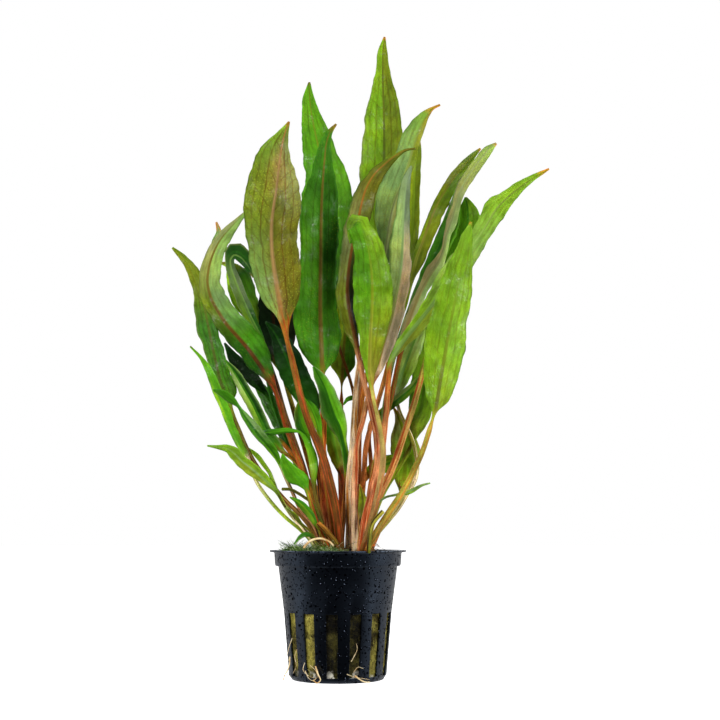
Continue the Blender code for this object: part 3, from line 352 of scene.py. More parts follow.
    # stalk and midrib: fibres 0.7 mm apart, coarser than real ones so that they show, and dark specks
    # 1.6 mm apart on the stalk
    fibres = add("Mapping", {"Vector": grain, "Scale": (1.5, 1.5, 0.035)})
    streak = add("TexNoise", {"Vector": fibres, "Scale": 1.0, "Detail": 2.5, "Roughness": 0.6})
    streakMask = add("MapRange", (streak, 0.48, 0.60, 0.0, 1.0), **smooth)
    ribShade = add("MapRange", (streak, 0.35, 0.65, 0.78, 1.28))
    ribColour = add("Mix", {0: 1.0, 6: ribTint, 7: ribShade}, **multiplied)
    blade = add("Mix", {0: rib, 6: blade, 7: ribColour}, **mixed)
    stalk = add("Mix", {0: streakMask, 6: tint, 7: ribTint}, **mixed)
    stalkShade = add("Math", (shade, 1.3), operation="MULTIPLY")
    stalk = add("Mix", {0: 1.0, 6: stalk, 7: stalkShade}, **multiplied)
    specks = add("TexVoronoi", {"Vector": place, "Scale": 620.0})
    speckMask = add("MapRange", (specks, 0.13, 0.2, 0.4, 0.0))
    stalk = add("Mix", {0: speckMask, 6: stalk, 7: rgba("#6a2408", 0.8)}, **mixed)
    colour = add("Mix", {0: leafness, 6: stalk, 7: blade}, **mixed)
    # relief: veins sunk by their mask, tissue puffed between them every 5 mm, fibres on the stalk
    pucker = add("TexNoise", {"Vector": place, "Scale": 190.0, "Detail": 1.0})
    puff = add("Math", (fine, 0.3, medium), operation="MULTIPLY_ADD")
    puff = add("Math", (pucker, 2.6, puff), operation="MULTIPLY_ADD")
    bladeRelief = add("Math", (veinMask, -0.5, puff), operation="MULTIPLY_ADD")
    stalkRelief = add("Math", (streak, 2.4, fine), operation="MULTIPLY_ADD")
    relief = add("Mix", {0: leafness, 2: stalkRelief, 3: bladeRelief})
    bump = add("Bump", {"Height": relief, "Strength": 1.0, "Distance": 0.0003})
    gloss = add("MapRange", (medium, 0.3, 0.7, skin["roughness"] - 0.07, skin["roughness"] + 0.09))
    # a thin film of water in patches of 8 mm, with grains of 0.8 mm on it, and less of it on the stalk
    filmField = add("TexNoise", {"Vector": place, "Scale": 120.0, "Detail": 3.0, "Roughness": 0.6})
    film = add("MapRange", (filmField, 0.53, 0.64, 0.0, skin["film"]))
    grainField = add("TexNoise", {"Vector": place, "Scale": 1300.0, "Detail": 1.0})
    speckled = add("MapRange", (grainField, 0.40, 0.60, 0.25, 1.25))
    film = add("Math", (film, speckled), operation="MULTIPLY", use_clamp=True)
    bladeOnly = add("MapRange", (leafness, 0.0, 1.0, 0.25, 1.0))
    film = add("Math", (film, bladeOnly), operation="MULTIPLY")
    filmRelief = add("Math", (grainField, 0.9, relief), operation="MULTIPLY_ADD")
    filmBump = add("Bump", {"Height": filmRelief, "Strength": 0.9, "Distance": 0.0004})
    return setShader(made, {
        "Base Color": colour,
        "Roughness": gloss,
        "Normal": bump,
        "Specular IOR Level": 0.06,
        "Subsurface Weight": 0.15,
        "Subsurface Radius": (0.6, 1.0, 0.2),
        "Subsurface Scale": 0.0006,
        "Coat Weight": film,
        "Coat Roughness": skin["filmRoughness"],
        "Coat Normal": filmBump,
    })


# A leaf point is x, z and half width, or x, z, left and right half width, and then, where the leaf bends
# back on itself, how much farther back it lies. blade is the first point of the blade, depth the distance
# behind the pot's axis at foot and tip, roll the turn about the midrib in degrees, and fold how far the
# edges lie back. The leaves stand from the back to the front, as in the solids.
Leaf = namedtuple("Leaf", "name colour blade depth roll fold points")
leafTable = [
    Leaf("leaf_tallest", "bright", 9, (15, 34), (-10, -20), -0.15, [
        (6.8, 48, 1.2), (7.1, 60, 1.1), (7.2, 70, 1.1), (7.2, 80, 1.1), (7.4, 90, 1), (7.9, 100, 1),
        (8.8, 114, 1), (11, 130, 1), (13.6, 143, 1), (15.4, 153, 1.6), (16.8, 168, 5.5),
        (17.5, 187, 9.4, 8), (18, 203, 9.1, 7.2), (18, 214, 8.2, 6.9), (17.9, 222, 6.8, 6.2),
        (17.6, 230, 4.6, 4.2), (17.5, 238, 2.8, 2.7), (17.6, 245, 2, 1.8), (18.2, 251, 0.4)]),
    Leaf("leaf_olive_back", "olive", 8, (15, 30), (-30, -30), -0.15, [
        (9.4, 48, 1), (8.6, 60, 1), (7.9, 80, 1.1), (8.3, 96, 1), (9.7, 109, 1), (14, 125, 1), (19, 140, 1),
        (23.5, 151, 1), (27, 161, 2), (29, 172, 3.5, 2.5), (29.8, 185, 4, 2.2), (30.2, 197, 3.5, 2.2),
        (31, 204, 2, 1.7), (31.9, 208.7, 0.4)]),
    Leaf("leaf_olive_centre", "olive", 4, (15, 20), (0, 0), 0.1, [
        (1.7, 48, 0.9), (1, 70, 0.9), (0.6, 90, 0.9), (1.2, 104, 0.8), (1.4, 113, 0.9), (1.7, 118, 4.2),
        (2.2, 126, 6, 5), (3, 138, 6), (4, 150, 5), (5, 160, 3), (5.6, 168, 0.4)]),
    Leaf("leaf_green_back", "bright", 8, (15, 24), (25, 30), -0.12, [
        (4.1, 48, 1), (4.4, 65, 0.9), (5.4, 85, 0.8), (6.2, 98, 0.7), (6, 107, 0.6), (3.7, 116, 0.6),
        (1.3, 123, 0.6), (-1.5, 133, 0.8), (-4, 145, 4), (-5.5, 160, 8), (-5.8, 175, 9.5, 10.5),
        (-5.8, 185, 8.8, 11.3), (-6, 193, 7.2, 9.8), (-7.3, 202, 6.7, 7), (-9.5, 212, 5.4, 5.6),
        (-11, 220, 3.7, 3.3), (-11.8, 227, 2.3, 1.8), (-11.8, 232.3, 0.4)]),
    Leaf("leaf_shaded_left", "dark", 4, (14, 16), (-20, -30), -0.1, [
        (-0.8, 48, 0.9), (-5, 62, 0.9), (-11, 73, 1), (-15.3, 80.5, 1), (-18, 86.5, 1.8),
        (-20.3, 92, 2.8, 2.4), (-23, 98, 3.2, 2.6), (-26, 104, 3.2, 2.6), (-29.8, 109.8, 2.2),
        (-35, 114.3, 0.4)]),
    Leaf("leaf_shaded_outer_left", "dark", 5, (14, 18), (35, 30), -0.15, [
        (-3.2, 48, 0.9), (-8, 66, 0.9), (-14, 79, 0.9), (-19.5, 92, 0.9), (-24.5, 102, 0.9),
        (-28.5, 108.5, 1), (-32, 112.8, 2.6, 2.3), (-36, 117, 3, 2.6), (-40, 121.5, 2.6, 2),
        (-44.2, 127.6, 0.4)]),
    Leaf("leaf_curled_left_back", "light", 5, (14, 24), (35, 30), -0.1, [
        (-5.4, 48, 0.8), (-9.6, 64, 0.8), (-18, 85, 0.9), (-25, 104, 0.9), (-29, 118, 0.9), (-35, 127, 1.5),
        (-42, 135.5, 2), (-47.5, 143, 2), (-50.5, 152, 2), (-50, 161, 2), (-48, 167.5, 1.8),
        (-47, 171.5, 1.1), (-48, 175.5, 0.4)]),
    Leaf("leaf_yellow_left", "bright", 6, (14, 24), (40, 35), -0.1, [
        (-7.6, 48, 0.8), (-10.6, 66, 0.8), (-17, 86, 0.9), (-22, 101, 0.9), (-26, 115, 0.8),
        (-29.5, 127, 0.8), (-32, 135.5, 2.2, 2.4), (-35.8, 143.5, 4.8, 4.4), (-38.3, 149.8, 5, 5.3),
        (-40.6, 154.8, 3.4, 4.8), (-43.3, 158.3, 1.2, 1.5), (-46.5, 159.2, 0.4)]),
    Leaf("leaf_deep_shade_left", "dark", 7, (12, 30), (30, 25), -0.12, [
        (-4.2, 48, 0.9), (-6.6, 60, 1), (-9.2, 73, 1), (-12.6, 86, 1), (-16.2, 98, 1), (-19.2, 108, 0.9),
        (-21.8, 116, 0.9), (-23.2, 121.5, 3, 4.4), (-24.4, 128, 5, 7.6), (-25.2, 135, 5.6, 8.6),
        (-26, 143, 5, 7.6), (-28, 153, 3, 4), (-31, 163, 0.4)]),
    Leaf("leaf_bent_left", "dark", 7, (12, 14), (15, 0), 0.1, [
        (-6.5, 48, 0.8), (-9.4, 62, 0.9), (-12.2, 75.8, 1), (-16.3, 88, 1), (-20.6, 100, 1),
        (-24, 112, 0.9), (-27.5, 122, 0.9), (-31, 131, 1.6), (-34.5, 138, 2.3), (-38, 146, 2.4),
        (-40.7, 153, 2.2), (-42.2, 157.6, 2, 1.8), (-42.2, 160.8, 2.4, 1.5), (-40.8, 162.4, 4.8, 1.4),
        (-38.6, 161.6, 4.2, 1.9), (-36.2, 159.2, 3.4, 1.9), (-34.3, 156.2, 1.8, 1.3), (-33.2, 153.4, 0.4)]),
    Leaf("leaf_drooping_right", "olive", 4, (12, 12), (-20, -20), -0.1, [
        (12.4, 48, 1), (17, 58, 1), (21.5, 64.5, 1), (24.4, 69.3, 1.1), (25.5, 74, 3.8, 3.6),
        (25.8, 80, 5.3, 5.2), (25.8, 87, 5.4), (25, 93, 4.8, 3.8), (23.6, 97.5, 2), (22.4, 100.5, 0.8),
        (21.3, 102.5, 0.4)]),
    Leaf("leaf_small_right", "bright", 4, (12, 12), (0, 10), 0.1, [
        (5.4, 48, 0.7), (6, 60, 0.7), (7.6, 68, 0.7), (9.8, 74, 0.8), (12.5, 78, 2.2), (16, 79.8, 3),
        (19.5, 81, 3.2, 3), (22.3, 82.6, 2.3), (24.8, 85.4, 0.4)]),
    Leaf("leaf_wavy_right", "olive", 6, (10, 20), (-30, -25), -0.12, [
        (11.2, 48, 0.9), (14.6, 63, 0.9), (18.2, 71.2, 0.9), (22, 77.2, 0.9), (26.9, 85.3, 0.9),
        (29.1, 90.4, 1), (30.3, 95, 2.8), (31.8, 101, 4.8, 4.5), (33, 108, 5.5, 5), (34.3, 116, 5.6, 5),
        (35, 124, 4.8, 4.5), (35, 132, 3), (34.5, 138, 0.4)]),
    Leaf("leaf_green_right_back", "dark", 11, (7, 18), (-30, -30), -0.12, [
        (11, 48, 0.9), (13.4, 52.2, 0.9), (19.2, 59.2, 0.9), (22.9, 63.7, 0.9), (26.2, 69.1, 0.9),
        (29.4, 74.5, 0.85), (30.4, 79.8, 0.8), (29.8, 85, 0.8), (28, 91.3, 0.75), (25.4, 97, 0.7),
        (23.2, 102.5, 0.7), (22.5, 107, 1), (23.7, 112, 2.4, 2.6), (26, 119, 3.8, 3.6),
        (28.7, 126, 3.8, 3.6), (31.5, 133, 2.5), (34, 139, 0.4)]),
    Leaf("leaf_narrow_right", "dark", 5, (9, 12), (-20, -20), 0, [
        (8.6, 48, 0.9), (10.6, 60, 0.9), (12.9, 74, 0.9), (12.4, 84, 0.8), (11.9, 91, 0.8), (12.8, 96.5, 1),
        (15.4, 99.4, 1.3, 1.2), (19, 102.1, 1.7, 1.4), (24, 106.2, 1.9, 1.6), (28.5, 110.2, 1.6, 1.5),
        (32.3, 115.5, 0.4)]),
    Leaf("leaf_dark_right", "dark", 7, (2, 24), (-30, -35), -0.15, [
        (8.8, 48, 1.1), (12, 60, 1.3), (15.6, 68.4, 1.4), (20.3, 78, 1.4), (26.1, 94.6, 1.3),
        (29.6, 105, 1.2), (32.8, 116.6, 1.1), (36.5, 129, 1.2), (41, 143, 3.5), (45.5, 157, 5),
        (49, 168, 5.3), (50.8, 176, 5.3, 5.2), (50.8, 181, 3.8, 3.4), (50, 185.5, 0.5)]),
    Leaf("leaf_arching_right", "olive", 7, (8, 36), (-35, -35), -0.25, [
        (6.6, 48, 0.9), (8.6, 62, 1), (9.9, 76, 1), (10.8, 88, 1), (14, 100, 0.9), (18, 114, 0.9),
        (22, 130, 0.9), (26, 143, 0.9), (29, 154, 1, 1.2), (30.6, 160.5, 1.8, 3.3), (32.8, 166.5, 2.2, 3.3),
        (36.6, 177, 1.9, 3.6), (39.4, 183.4, 2, 3.9), (42.4, 188.6, 2, 3.3), (45.8, 193.6, 2.3, 2.8),
        (49.6, 198.4, 1.9, 2), (52.8, 202, 1.3, 1.2), (56, 205.2, 0.4)]),
    Leaf("leaf_dark_slender_right", "dark", 6, (4, 30), (-30, -30), -0.1, [
        (11, 48, 0.9), (11.9, 60, 1), (13.4, 75, 1), (17.4, 100, 0.9), (21.5, 122, 0.9), (25, 133, 1),
        (29, 142.5, 1.6), (32.8, 151, 2.4, 2.5), (37.2, 160, 3, 3.5), (41.8, 170.5, 3, 4),
        (45, 180, 2.5, 3), (46.3, 188.5, 0.4)]),
    Leaf("leaf_pink_wavy_right", "grey_green", 6, (4, 24), (-30, -35), 0.15, [
        (8.8, 48, 1), (10.8, 60, 1.1), (13, 75, 1.1), (16.5, 91, 1), (20.3, 106, 1), (23.8, 122.5, 1),
        (26.6, 132.8, 2, 1.5), (30, 142.5, 1.8, 2.3), (33.5, 150, 2, 2.2), (36.4, 155, 2.9),
        (39.3, 159.3, 2.5, 2.2), (41.3, 164, 1.4), (42.5, 170, 1.3, 1.5), (44.6, 176, 2.1),
        (46, 181, 1.8, 1.6), (48.5, 189, 2.1), (51.8, 195, 2.2, 2.4), (55.5, 200, 2.1, 2.3),
        (59, 204.5, 1.8), (62.3, 207.3, 0.5)]),
    Leaf("leaf_yellow_small_left", "bright", 5, (8, 5), (-10, -20), 0, [
        (-2.2, 48, 0.8), (-6.6, 62, 0.8), (-12, 74.5, 0.8), (-15.5, 80.8, 0.8), (-19.4, 86.4, 0.8),
        (-22.3, 89.6, 0.8), (-25.5, 91.2, 1), (-28.7, 94, 1.2), (-31, 97, 1), (-32.6, 100.2, 0.3)]),
    Leaf("leaf_thread_left", "bright", 5, (6, 4), (-20, -30), 0, [
        (-8.2, 48, 0.6), (-10.6, 53, 0.6), (-13.8, 57, 0.5), (-19, 64, 0.5), (-23.4, 70.8, 0.5),
        (-24.9, 74, 0.8), (-26.2, 77.2, 0.8), (-28.4, 80.3, 0.8), (-30.4, 83, 0.9), (-32.3, 85, 0.9, 0.7),
        (-34.6, 86.8, 0.3)]),
    Leaf("leaf_outer_left", "olive", 9, (5, -4), (-30, -40), -0.1, [
        (-6.2, 48, 0.9), (-9.4, 55, 0.95), (-13.6, 60.6, 0.95), (-20, 66.6, 0.9), (-26.3, 73.8, 0.9),
        (-31, 79.5, 0.9), (-35, 86.5, 0.85), (-38.3, 94, 0.85), (-40.6, 99.5, 0.85),
        (-42.3, 103.5, 1.2, 1.5), (-43.6, 107.5, 2.6, 4.6), (-45.2, 112, 3.3, 4.6), (-46.8, 118, 3, 4.2),
        (-48.9, 127, 3.7, 3.6), (-50.4, 134, 4.8, 3.2), (-51.9, 141, 4.3, 2.9), (-53.8, 148.4, 2.9, 2.8),
        (-56.8, 155.8, 2.3, 2.2), (-61, 161.5, 1.5, 1.3), (-65.1, 165.3, 0.4)]),
    Leaf("leaf_edged_left", "dark", 5, (5, -8), (-30, -35), 0.2, [
        (-4, 48, 0.8), (-7.4, 63, 0.8), (-10.5, 73, 0.7), (-14.4, 79, 0.7), (-18.4, 83.3, 0.7),
        (-21, 85.3, 0.9), (-24, 88.6, 1.8, 2), (-27, 92.3, 2.6, 2.2), (-30, 98, 2.4, 2.2),
        (-33, 104, 2.5, 2.3), (-36.4, 109.8, 2.4, 2.2), (-39.8, 115.5, 1.8), (-43.7, 121, 0.3)]),
    Leaf("leaf_curved_left", "light", 8, (5, -16), (-25, -40), 0.12, [
        (-1.8, 48, 1.1), (-4.7, 57, 1.2), (-8.4, 66, 1.2), (-12.3, 75.5, 1.15), (-16.6, 86, 1.1),
        (-20.2, 95.5, 1.1), (-22.4, 103, 1.1), (-24.9, 110.3, 1.1), (-27.2, 115, 2.2, 2.6),
        (-30.7, 119.8, 4.2, 5.1), (-34.7, 125.3, 4.3, 6.8), (-39.3, 130.6, 4.4, 6.8),
        (-42.9, 134.6, 4.4, 6.5), (-46.4, 139.7, 4.2, 6), (-49.5, 145.4, 4, 5.5), (-50.9, 151.5, 3.6, 4.8),
        (-50.3, 158, 3.4, 4.6), (-48.5, 163.8, 2.9, 3.9), (-46, 168.6, 2.4, 3.5), (-42.8, 172.6, 1.8, 2.6),
        (-39.3, 176.5, 1.1, 1.5), (-36, 180, 0.4)]),
    Leaf("leaf_broad_shaded", "dark", 4, (5, -10), (-15, -25), -0.08, [
        (0.8, 48, 1), (-1.6, 62, 1.1), (-4, 75, 1.1), (-6, 88, 1.1), (-8.2, 99, 1.4), (-11, 105, 4),
        (-14.5, 110.5, 4.8, 5.2), (-17.5, 116, 5, 5.6), (-19.8, 121.5, 4.8, 5.5), (-22.3, 127, 3.3, 4.3),
        (-25, 132, 2, 2.6), (-28.3, 136, 0.4)]),
    Leaf("leaf_grass_right", "bright", 2, (-2, -8), (0, 0), 0, [
        (9.8, 48, 0.6), (12, 60.5, 0.5), (14.3, 64.7, 0.45), (17.8, 67.8, 0.45), (22.4, 69, 0.5),
        (26.5, 69.8, 0.8, 0.9), (29.5, 71.2, 0.7, 0.9), (32, 72.5, 0.5), (35.3, 73.4, 0.3)]),
    Leaf("leaf_shaded_centre", "olive", 4, (4, 2), (0, 0), 0.1, [
        (0.6, 48, 0.7), (1.4, 60, 0.7), (1.8, 70, 0.7), (1.4, 76, 0.9), (0.3, 81, 2.2, 1.8),
        (-1.1, 86.5, 3.2, 2.4), (-2.3, 92, 3, 2.4), (-3.5, 97, 2, 1.8), (-4.6, 101, 0.4)]),
    Leaf("leaf_dark_front", "dark", 8, (2, -8), (5, 10), -0.08, [
        (-3.4, 48, 1.1), (-4.6, 60, 1.25), (-5.8, 70, 1.3), (-6.4, 77, 1.3), (-6, 84, 1.25),
        (-5.7, 92, 1.25), (-5.8, 100, 1.2), (-6, 110, 1.2), (-6.2, 116.5, 1.5, 1.4), (-6.4, 120.5, 5),
        (-6.6, 126, 8.4, 7.3), (-6.9, 133, 10, 7.8), (-7.1, 140, 10.3, 7), (-7.1, 152, 8.8, 6.3),
        (-7, 163, 7.8, 6.6), (-6.9, 174, 8.2, 7), (-6.7, 184, 7.6, 6.4), (-6.2, 193, 5.4, 5.2),
        (-5.6, 201, 3.8, 3.1), (-4.9, 207.5, 2.5, 1.8), (-3.5, 211.8, 1.4, 1), (-1, 215.2, 0.4)]),
    Leaf("leaf_light_behind_bronze", "bright", 4, (1, -14), (-10, -20), 0.1, [
        (-1, 48, 0.8), (-4, 68, 0.8), (-5.5, 80, 0.8), (-6.4, 88, 0.8), (-7.2, 93, 1), (-8.2, 97, 1.8),
        (-9.8, 101, 1.9, 2.2), (-11.5, 104.2, 1.3), (-13, 106.3, 0.3)]),
    Leaf("leaf_beside_bronze", "dark", 3, (1, -12), (-10, 0), 0.1, [
        (-5.6, 48, 0.7), (-6.8, 65, 0.7), (-8, 78, 0.8), (-10.3, 86, 0.9), (-12.4, 91.3, 1.8),
        (-14.4, 96, 2.3, 2.2), (-15.4, 100.5, 1.6, 2), (-15.3, 104.8, 0.3)]),
    Leaf("leaf_arch_left", "dark", 3, (-1, -18), (-10, -20), 0, [
        (-3.4, 48, 0.7), (-6.4, 60, 0.8), (-8.5, 68, 0.8), (-9.3, 74.5, 1), (-9.2, 79.5, 1.7, 1.6),
        (-10.1, 84.3, 1.6, 1.8), (-11.5, 88, 1.3, 1.5), (-13, 91, 0.9), (-15, 93, 0.5), (-17.2, 93.5, 0.8),
        (-20, 93.7, 1.1), (-24, 93.2, 1.2), (-28, 92.8, 1.1), (-30.8, 92.4, 0.3)]),
    Leaf("leaflet_centre", "bright", 3, (3, -4), (0, 0), 0, [
        (3.2, 48, 0.6), (4.4, 75, 0.5), (6.2, 94, 0.5), (6.7, 102.5, 0.6), (5.7, 106.3, 1, 0.9),
        (3.9, 106, 1, 0.8), (2, 103.5, 0.3)]),
    Leaf("leaf_folded_front", "dark", 3, (0, -22), (-15, -20), 0.2, [
        (1.2, 48, 0.9), (2.2, 62, 1), (3.1, 72, 1), (3.2, 78, 1), (2.9, 84, 1.5, 1.2), (1.7, 90, 1.7, 1.6),
        (0.5, 95, 3.4, 3.3), (-1.6, 99.5, 4), (-3.3, 104.5, 4), (-5.1, 110, 2.8), (-7.6, 115, 2),
        (-9.7, 118.4, 0.4)]),
    Leaf("leaf_grey_tip_orange", "grey_green", 8, (0, 6), (-15, -25), 0.1, [
        (4.6, 48, 1.3), (4.2, 61, 1.35), (4.2, 72, 1.35), (4.8, 80, 1.3), (5.8, 90, 1.3), (6.3, 100, 1.2),
        (7.2, 112, 1.1), (9, 125, 1), (13, 142, 1.1), (17, 156, 2.2, 2), (19, 167, 3.4, 2),
        (20.4, 176, 6.2, 2), (22.3, 184, 7.8, 1.9), (25.3, 192, 7.4, 2), (28, 200, 6.6, 2.2),
        (30.4, 207.9, 5.9, 1.9), (32.7, 214, 4.5, 1.6), (35.1, 218.7, 2.7, 0.9), (37.3, 221.5, 0.9, 0.6),
        (40.2, 223, 0.4)]),
    Leaf("leaf_pink_underside", "grey_green", 7, (-2, -14), (15, 20), 0.1, [
        (6.4, 48, 1.25), (6.2, 65, 1.3), (6.7, 80, 1.15), (7.5, 90, 1), (9.4, 97, 1), (11.2, 105, 1),
        (13, 112, 1), (14.6, 117.5, 1.5, 2.5), (17.3, 127.5, 2.5, 4.5), (20.3, 137, 3, 4.5),
        (22.5, 147.5, 3, 4.5), (24.2, 157, 4.4, 4.2), (25, 168, 4.9, 3), (25.3, 178, 3, 2.7),
        (26.2, 188, 2.5, 1.9), (27.3, 194, 1.6, 1.2), (28.6, 198.2, 0.4)]),
    Leaf("leaflet_front", "olive", 2, (-3, -6), (0, 0), 0, [
        (7.7, 48, 0.7), (8.5, 57, 0.7), (9, 62, 1.5), (9.5, 66, 1.7), (9, 70, 1), (8.2, 73, 0.3)]),
    Leaf("leaf_bronze_right", "bronze", 10, (-3, -16), (10, 5), 0.12, [
        (8.4, 48, 1.15), (10, 59, 1.25), (12.8, 70, 1.3), (15, 80, 1.2), (14.9, 88, 1.15),
        (14.2, 94.2, 1.1), (12.9, 100, 1.1), (11.9, 105, 1), (10, 112, 1), (8.4, 120, 1),
        (7, 126.5, 1.3, 1.2), (5.8, 132.5, 3.2, 1.6), (4.4, 139.5, 4.2, 2), (3.4, 147, 4.3, 2.5),
        (3.8, 155, 3.8, 3), (5.2, 165, 4.3, 4), (7.4, 175, 4.5), (8.8, 182, 4.2, 5), (10.8, 189, 3.4, 4.5),
        (14.3, 195, 2.2, 3.6), (18.5, 199.2, 1.4, 2.6), (22.5, 202.3, 0.9, 1.4), (26.5, 204.6, 0.6),
        (30.3, 205.2, 0.4)]),
    Leaf("leaf_big_right", "light", 7, (-3, -24), (25, 30), 0.12, [
        (10.6, 48, 1.1), (12, 60, 1.2), (14.5, 72, 1.2), (16.6, 84, 1.2), (17.8, 94, 1.2), (18.6, 102, 1.1),
        (19.3, 112, 1.1), (20.5, 121, 1.1), (24, 127, 1.8, 2.4), (31, 136, 2.3, 4.3), (38, 145, 3.8, 5),
        (44, 154.5, 4.4, 5.5), (50, 163, 4.2, 5.3), (57, 173, 3.5, 4), (62, 181, 4.4, 4.6),
        (68, 187, 2.7, 3), (75, 192.3, 1.7, 1.5), (83, 197, 0.4)]),
    Leaf("leaf_rounded_front", "light", 8, (-5, -30), (5, 10), 0.12, [
        (9.3, 48, 1.15), (12.6, 59, 1.2), (15.4, 70, 1.25), (17, 79, 1.15), (17.3, 86, 1.1),
        (16.6, 92.4, 1.05), (15.2, 99, 1), (13.7, 105, 1), (12.6, 112, 1.1), (12.1, 118, 2, 3),
        (12.2, 124, 3.6, 4.6), (12.5, 131, 4.8, 6.3), (13, 139, 7, 7.6), (13.2, 147, 7.4, 8),
        (12.9, 155, 7.6, 7.4), (12, 163, 6, 6.3), (10.6, 169, 5.6, 4.9), (9, 173, 5.4, 4, 0),
        (7.6, 175.4, 4.8, 4, 2), (6.4, 174.5, 3.6, 3.2, 5.5), (5.5, 171.5, 2.4, 2.4, 8),
        (4.6, 167, 0.4, 0.4, 10)]),
    Leaf("leaf_broad_right", "light", 7, (-6, -38), (25, 35), 0.1, [
        (11.4, 48.7, 1.1), (14.1, 53.7, 1.25), (19.9, 62.8, 1.3), (24.5, 69.7, 1.2), (29.1, 78.3, 1.1),
        (32, 84.5, 1.05), (34.9, 93, 1), (37.2, 101, 1.1), (38.1, 105.5, 4, 4.4), (39, 111, 5.6, 6),
        (40.2, 117.5, 7.2, 6.9), (42.2, 128.5, 8.8, 7.3), (43.8, 137, 7.8, 6.3), (45.2, 144, 7.2, 6.3),
        (46.4, 150, 7, 5.8), (47.6, 156, 5.8, 4.9), (49.2, 163, 4, 3.6), (50.6, 170, 2.4, 2),
        (52, 175.6, 0.4)]),
    Leaf("leaf_bright_outer_left", "bright", 7, (0, -16), (-30, -40), 0.1, [
        (-8.4, 48, 0.8), (-9.8, 50.8, 0.8), (-14.2, 55.5, 0.7), (-20, 60.3, 0.7), (-27, 67.9, 0.7),
        (-31.9, 75.2, 0.7), (-33.7, 80, 0.7), (-35.4, 84.5, 1), (-38.2, 89, 1.4, 1.6),
        (-40.6, 94, 1.5, 1.6), (-43, 100, 1.8), (-45.6, 106, 1.7, 1.8), (-48.2, 112, 1.6, 1.8),
        (-50.3, 117, 1.3, 1.5), (-53, 121.5, 0.8), (-57.5, 126.3, 0.3)]),
    Leaf("leaf_twisted_left", "dark", 5, (-2, -22), (-20, -30), 0.1, [
        (-6.3, 48, 0.7), (-9.5, 57.4, 0.7), (-14.3, 63.1, 0.7), (-17.5, 70, 0.7), (-20.3, 76, 0.7),
        (-22.2, 80.5, 0.8), (-24.3, 84.5, 1.3, 1.5), (-27, 88, 1.6, 2), (-30.5, 92, 1.8, 2.2),
        (-33.5, 95.8, 1.6, 2), (-36.2, 99.5, 1.2, 1.3), (-38.6, 103, 0.7), (-40.5, 105, 1.5, 1.3),
        (-43, 107, 2, 1.6), (-45.8, 108.6, 1.4, 1.1), (-48.4, 109.3, 0.3)]),
    Leaf("leaf_low_left", "light", 4, (-3, -28), (-25, -35), 0.1, [
        (-7.6, 48, 0.7), (-13.2, 56, 0.6), (-17.5, 60.5, 0.6), (-20.5, 65, 0.65), (-23.4, 70, 0.8),
        (-27.5, 74.2, 1.7), (-30.3, 76.6, 2.2), (-33.5, 79.3, 2.7, 2.2), (-37, 82, 2.5, 2),
        (-39.8, 84.8, 2.5, 2.4), (-42.4, 86.6, 1.5, 1.6), (-45.5, 87.2, 1.1, 0.9), (-50.3, 87.7, 0.3)]),
    Leaf("stub_left", "olive", 9, (-2, -18), (0, 0), 0, [
        (-4.6, 48, 0.65), (-7, 60, 0.6), (-10.4, 66.3, 0.6), (-12.7, 67.9, 0.6), (-15.2, 69.5, 0.6),
        (-18.4, 71, 0.6), (-21.3, 71.1, 0.6)]),
    Leaf("leaf_ovate_left", "bright", 4, (-3, -24), (-10, -15), 0.1, [
        (-3.2, 48, 0.75), (-7.4, 56.5, 0.7), (-9.5, 63.1, 0.7), (-10.8, 67.2, 0.7), (-12, 71, 0.9),
        (-13.8, 73.8, 2.2, 2.8), (-16.3, 76.5, 3.7, 2.8), (-18.4, 79.3, 3.4, 1.9), (-20.2, 82, 2.2, 1),
        (-21.4, 84.6, 0.3)]),
    Leaf("leaf_slim_left", "dark", 2, (-4, -22), (-15, -20), 0.15, [
        (-5.2, 48, 0.6), (-7.3, 55.3, 0.6), (-8.8, 58.2, 1), (-10.5, 61.2, 1.5), (-12.7, 63.8, 1.5),
        (-15.2, 66.2, 1.1), (-18.4, 68, 0.3)]),
    Leaf("leaf_tiny_left", "olive", 2, (-4, -16), (0, 0), 0, [
        (-6.8, 48, 0.6), (-11.4, 55.8, 0.5), (-14, 57.9, 0.6), (-16.2, 60.9, 0.8), (-20, 64, 0.3)]),
    Leaf("leaf_arching_low_left", "dark", 2, (-6, -17), (0, 0), 0, [
        (-5.2, 48.6, 0.5), (-8.8, 52.4, 0.5), (-10.4, 53.6, 0.8), (-12.3, 54, 0.9), (-14.4, 52.9, 0.8),
        (-15.8, 51.4, 0.5), (-16.7, 50.2, 0.3)]),
    Leaf("leaf_bronze_front", "bronze", 11, (-3, -44), (-15, -25), 0.1, [
        (0.8, 48, 1.4), (-0.1, 58, 1.7), (-1.5, 66.2, 1.8), (-3.8, 75.8, 1.8), (-5.6, 82.4, 1.7),
        (-7.5, 87.5, 1.5), (-11.3, 96.6, 1.35), (-14, 105, 1.3), (-16, 113, 1.25), (-17.9, 121, 1.2),
        (-20.5, 132, 1.2), (-21.8, 138.4, 2.4, 4), (-22.5, 142.5, 5.2, 7), (-23.6, 148.5, 7.6, 9),
        (-25, 157, 8.8, 10.4), (-26, 166, 9.6, 9.8), (-26, 176, 11.2, 10.4), (-25.2, 183, 12.2, 10.7),
        (-24.4, 188.5, 12, 9.4), (-23.7, 195, 11.3, 7), (-23.2, 200, 10.2, 4.9), (-22.5, 205, 8, 2.8),
        (-21.6, 210, 4, 1.7), (-20.6, 213.5, 1.8, 1), (-19.7, 216.2, 0.4)]),
    Leaf("stub_front", "petiole", 9, (-8, -11), (0, 0), 0, [
        (-0.2, 50, 0.9), (-3.5, 54.2, 1.1), (-7.6, 58.3, 1)]),
    Leaf("stub_right", "petiole", 9, (-8, -10), (0, 0), 0, [
        (11.6, 48, 0.8), (13.4, 58.3, 0.9), (17.1, 62.6, 0.85)]),
]

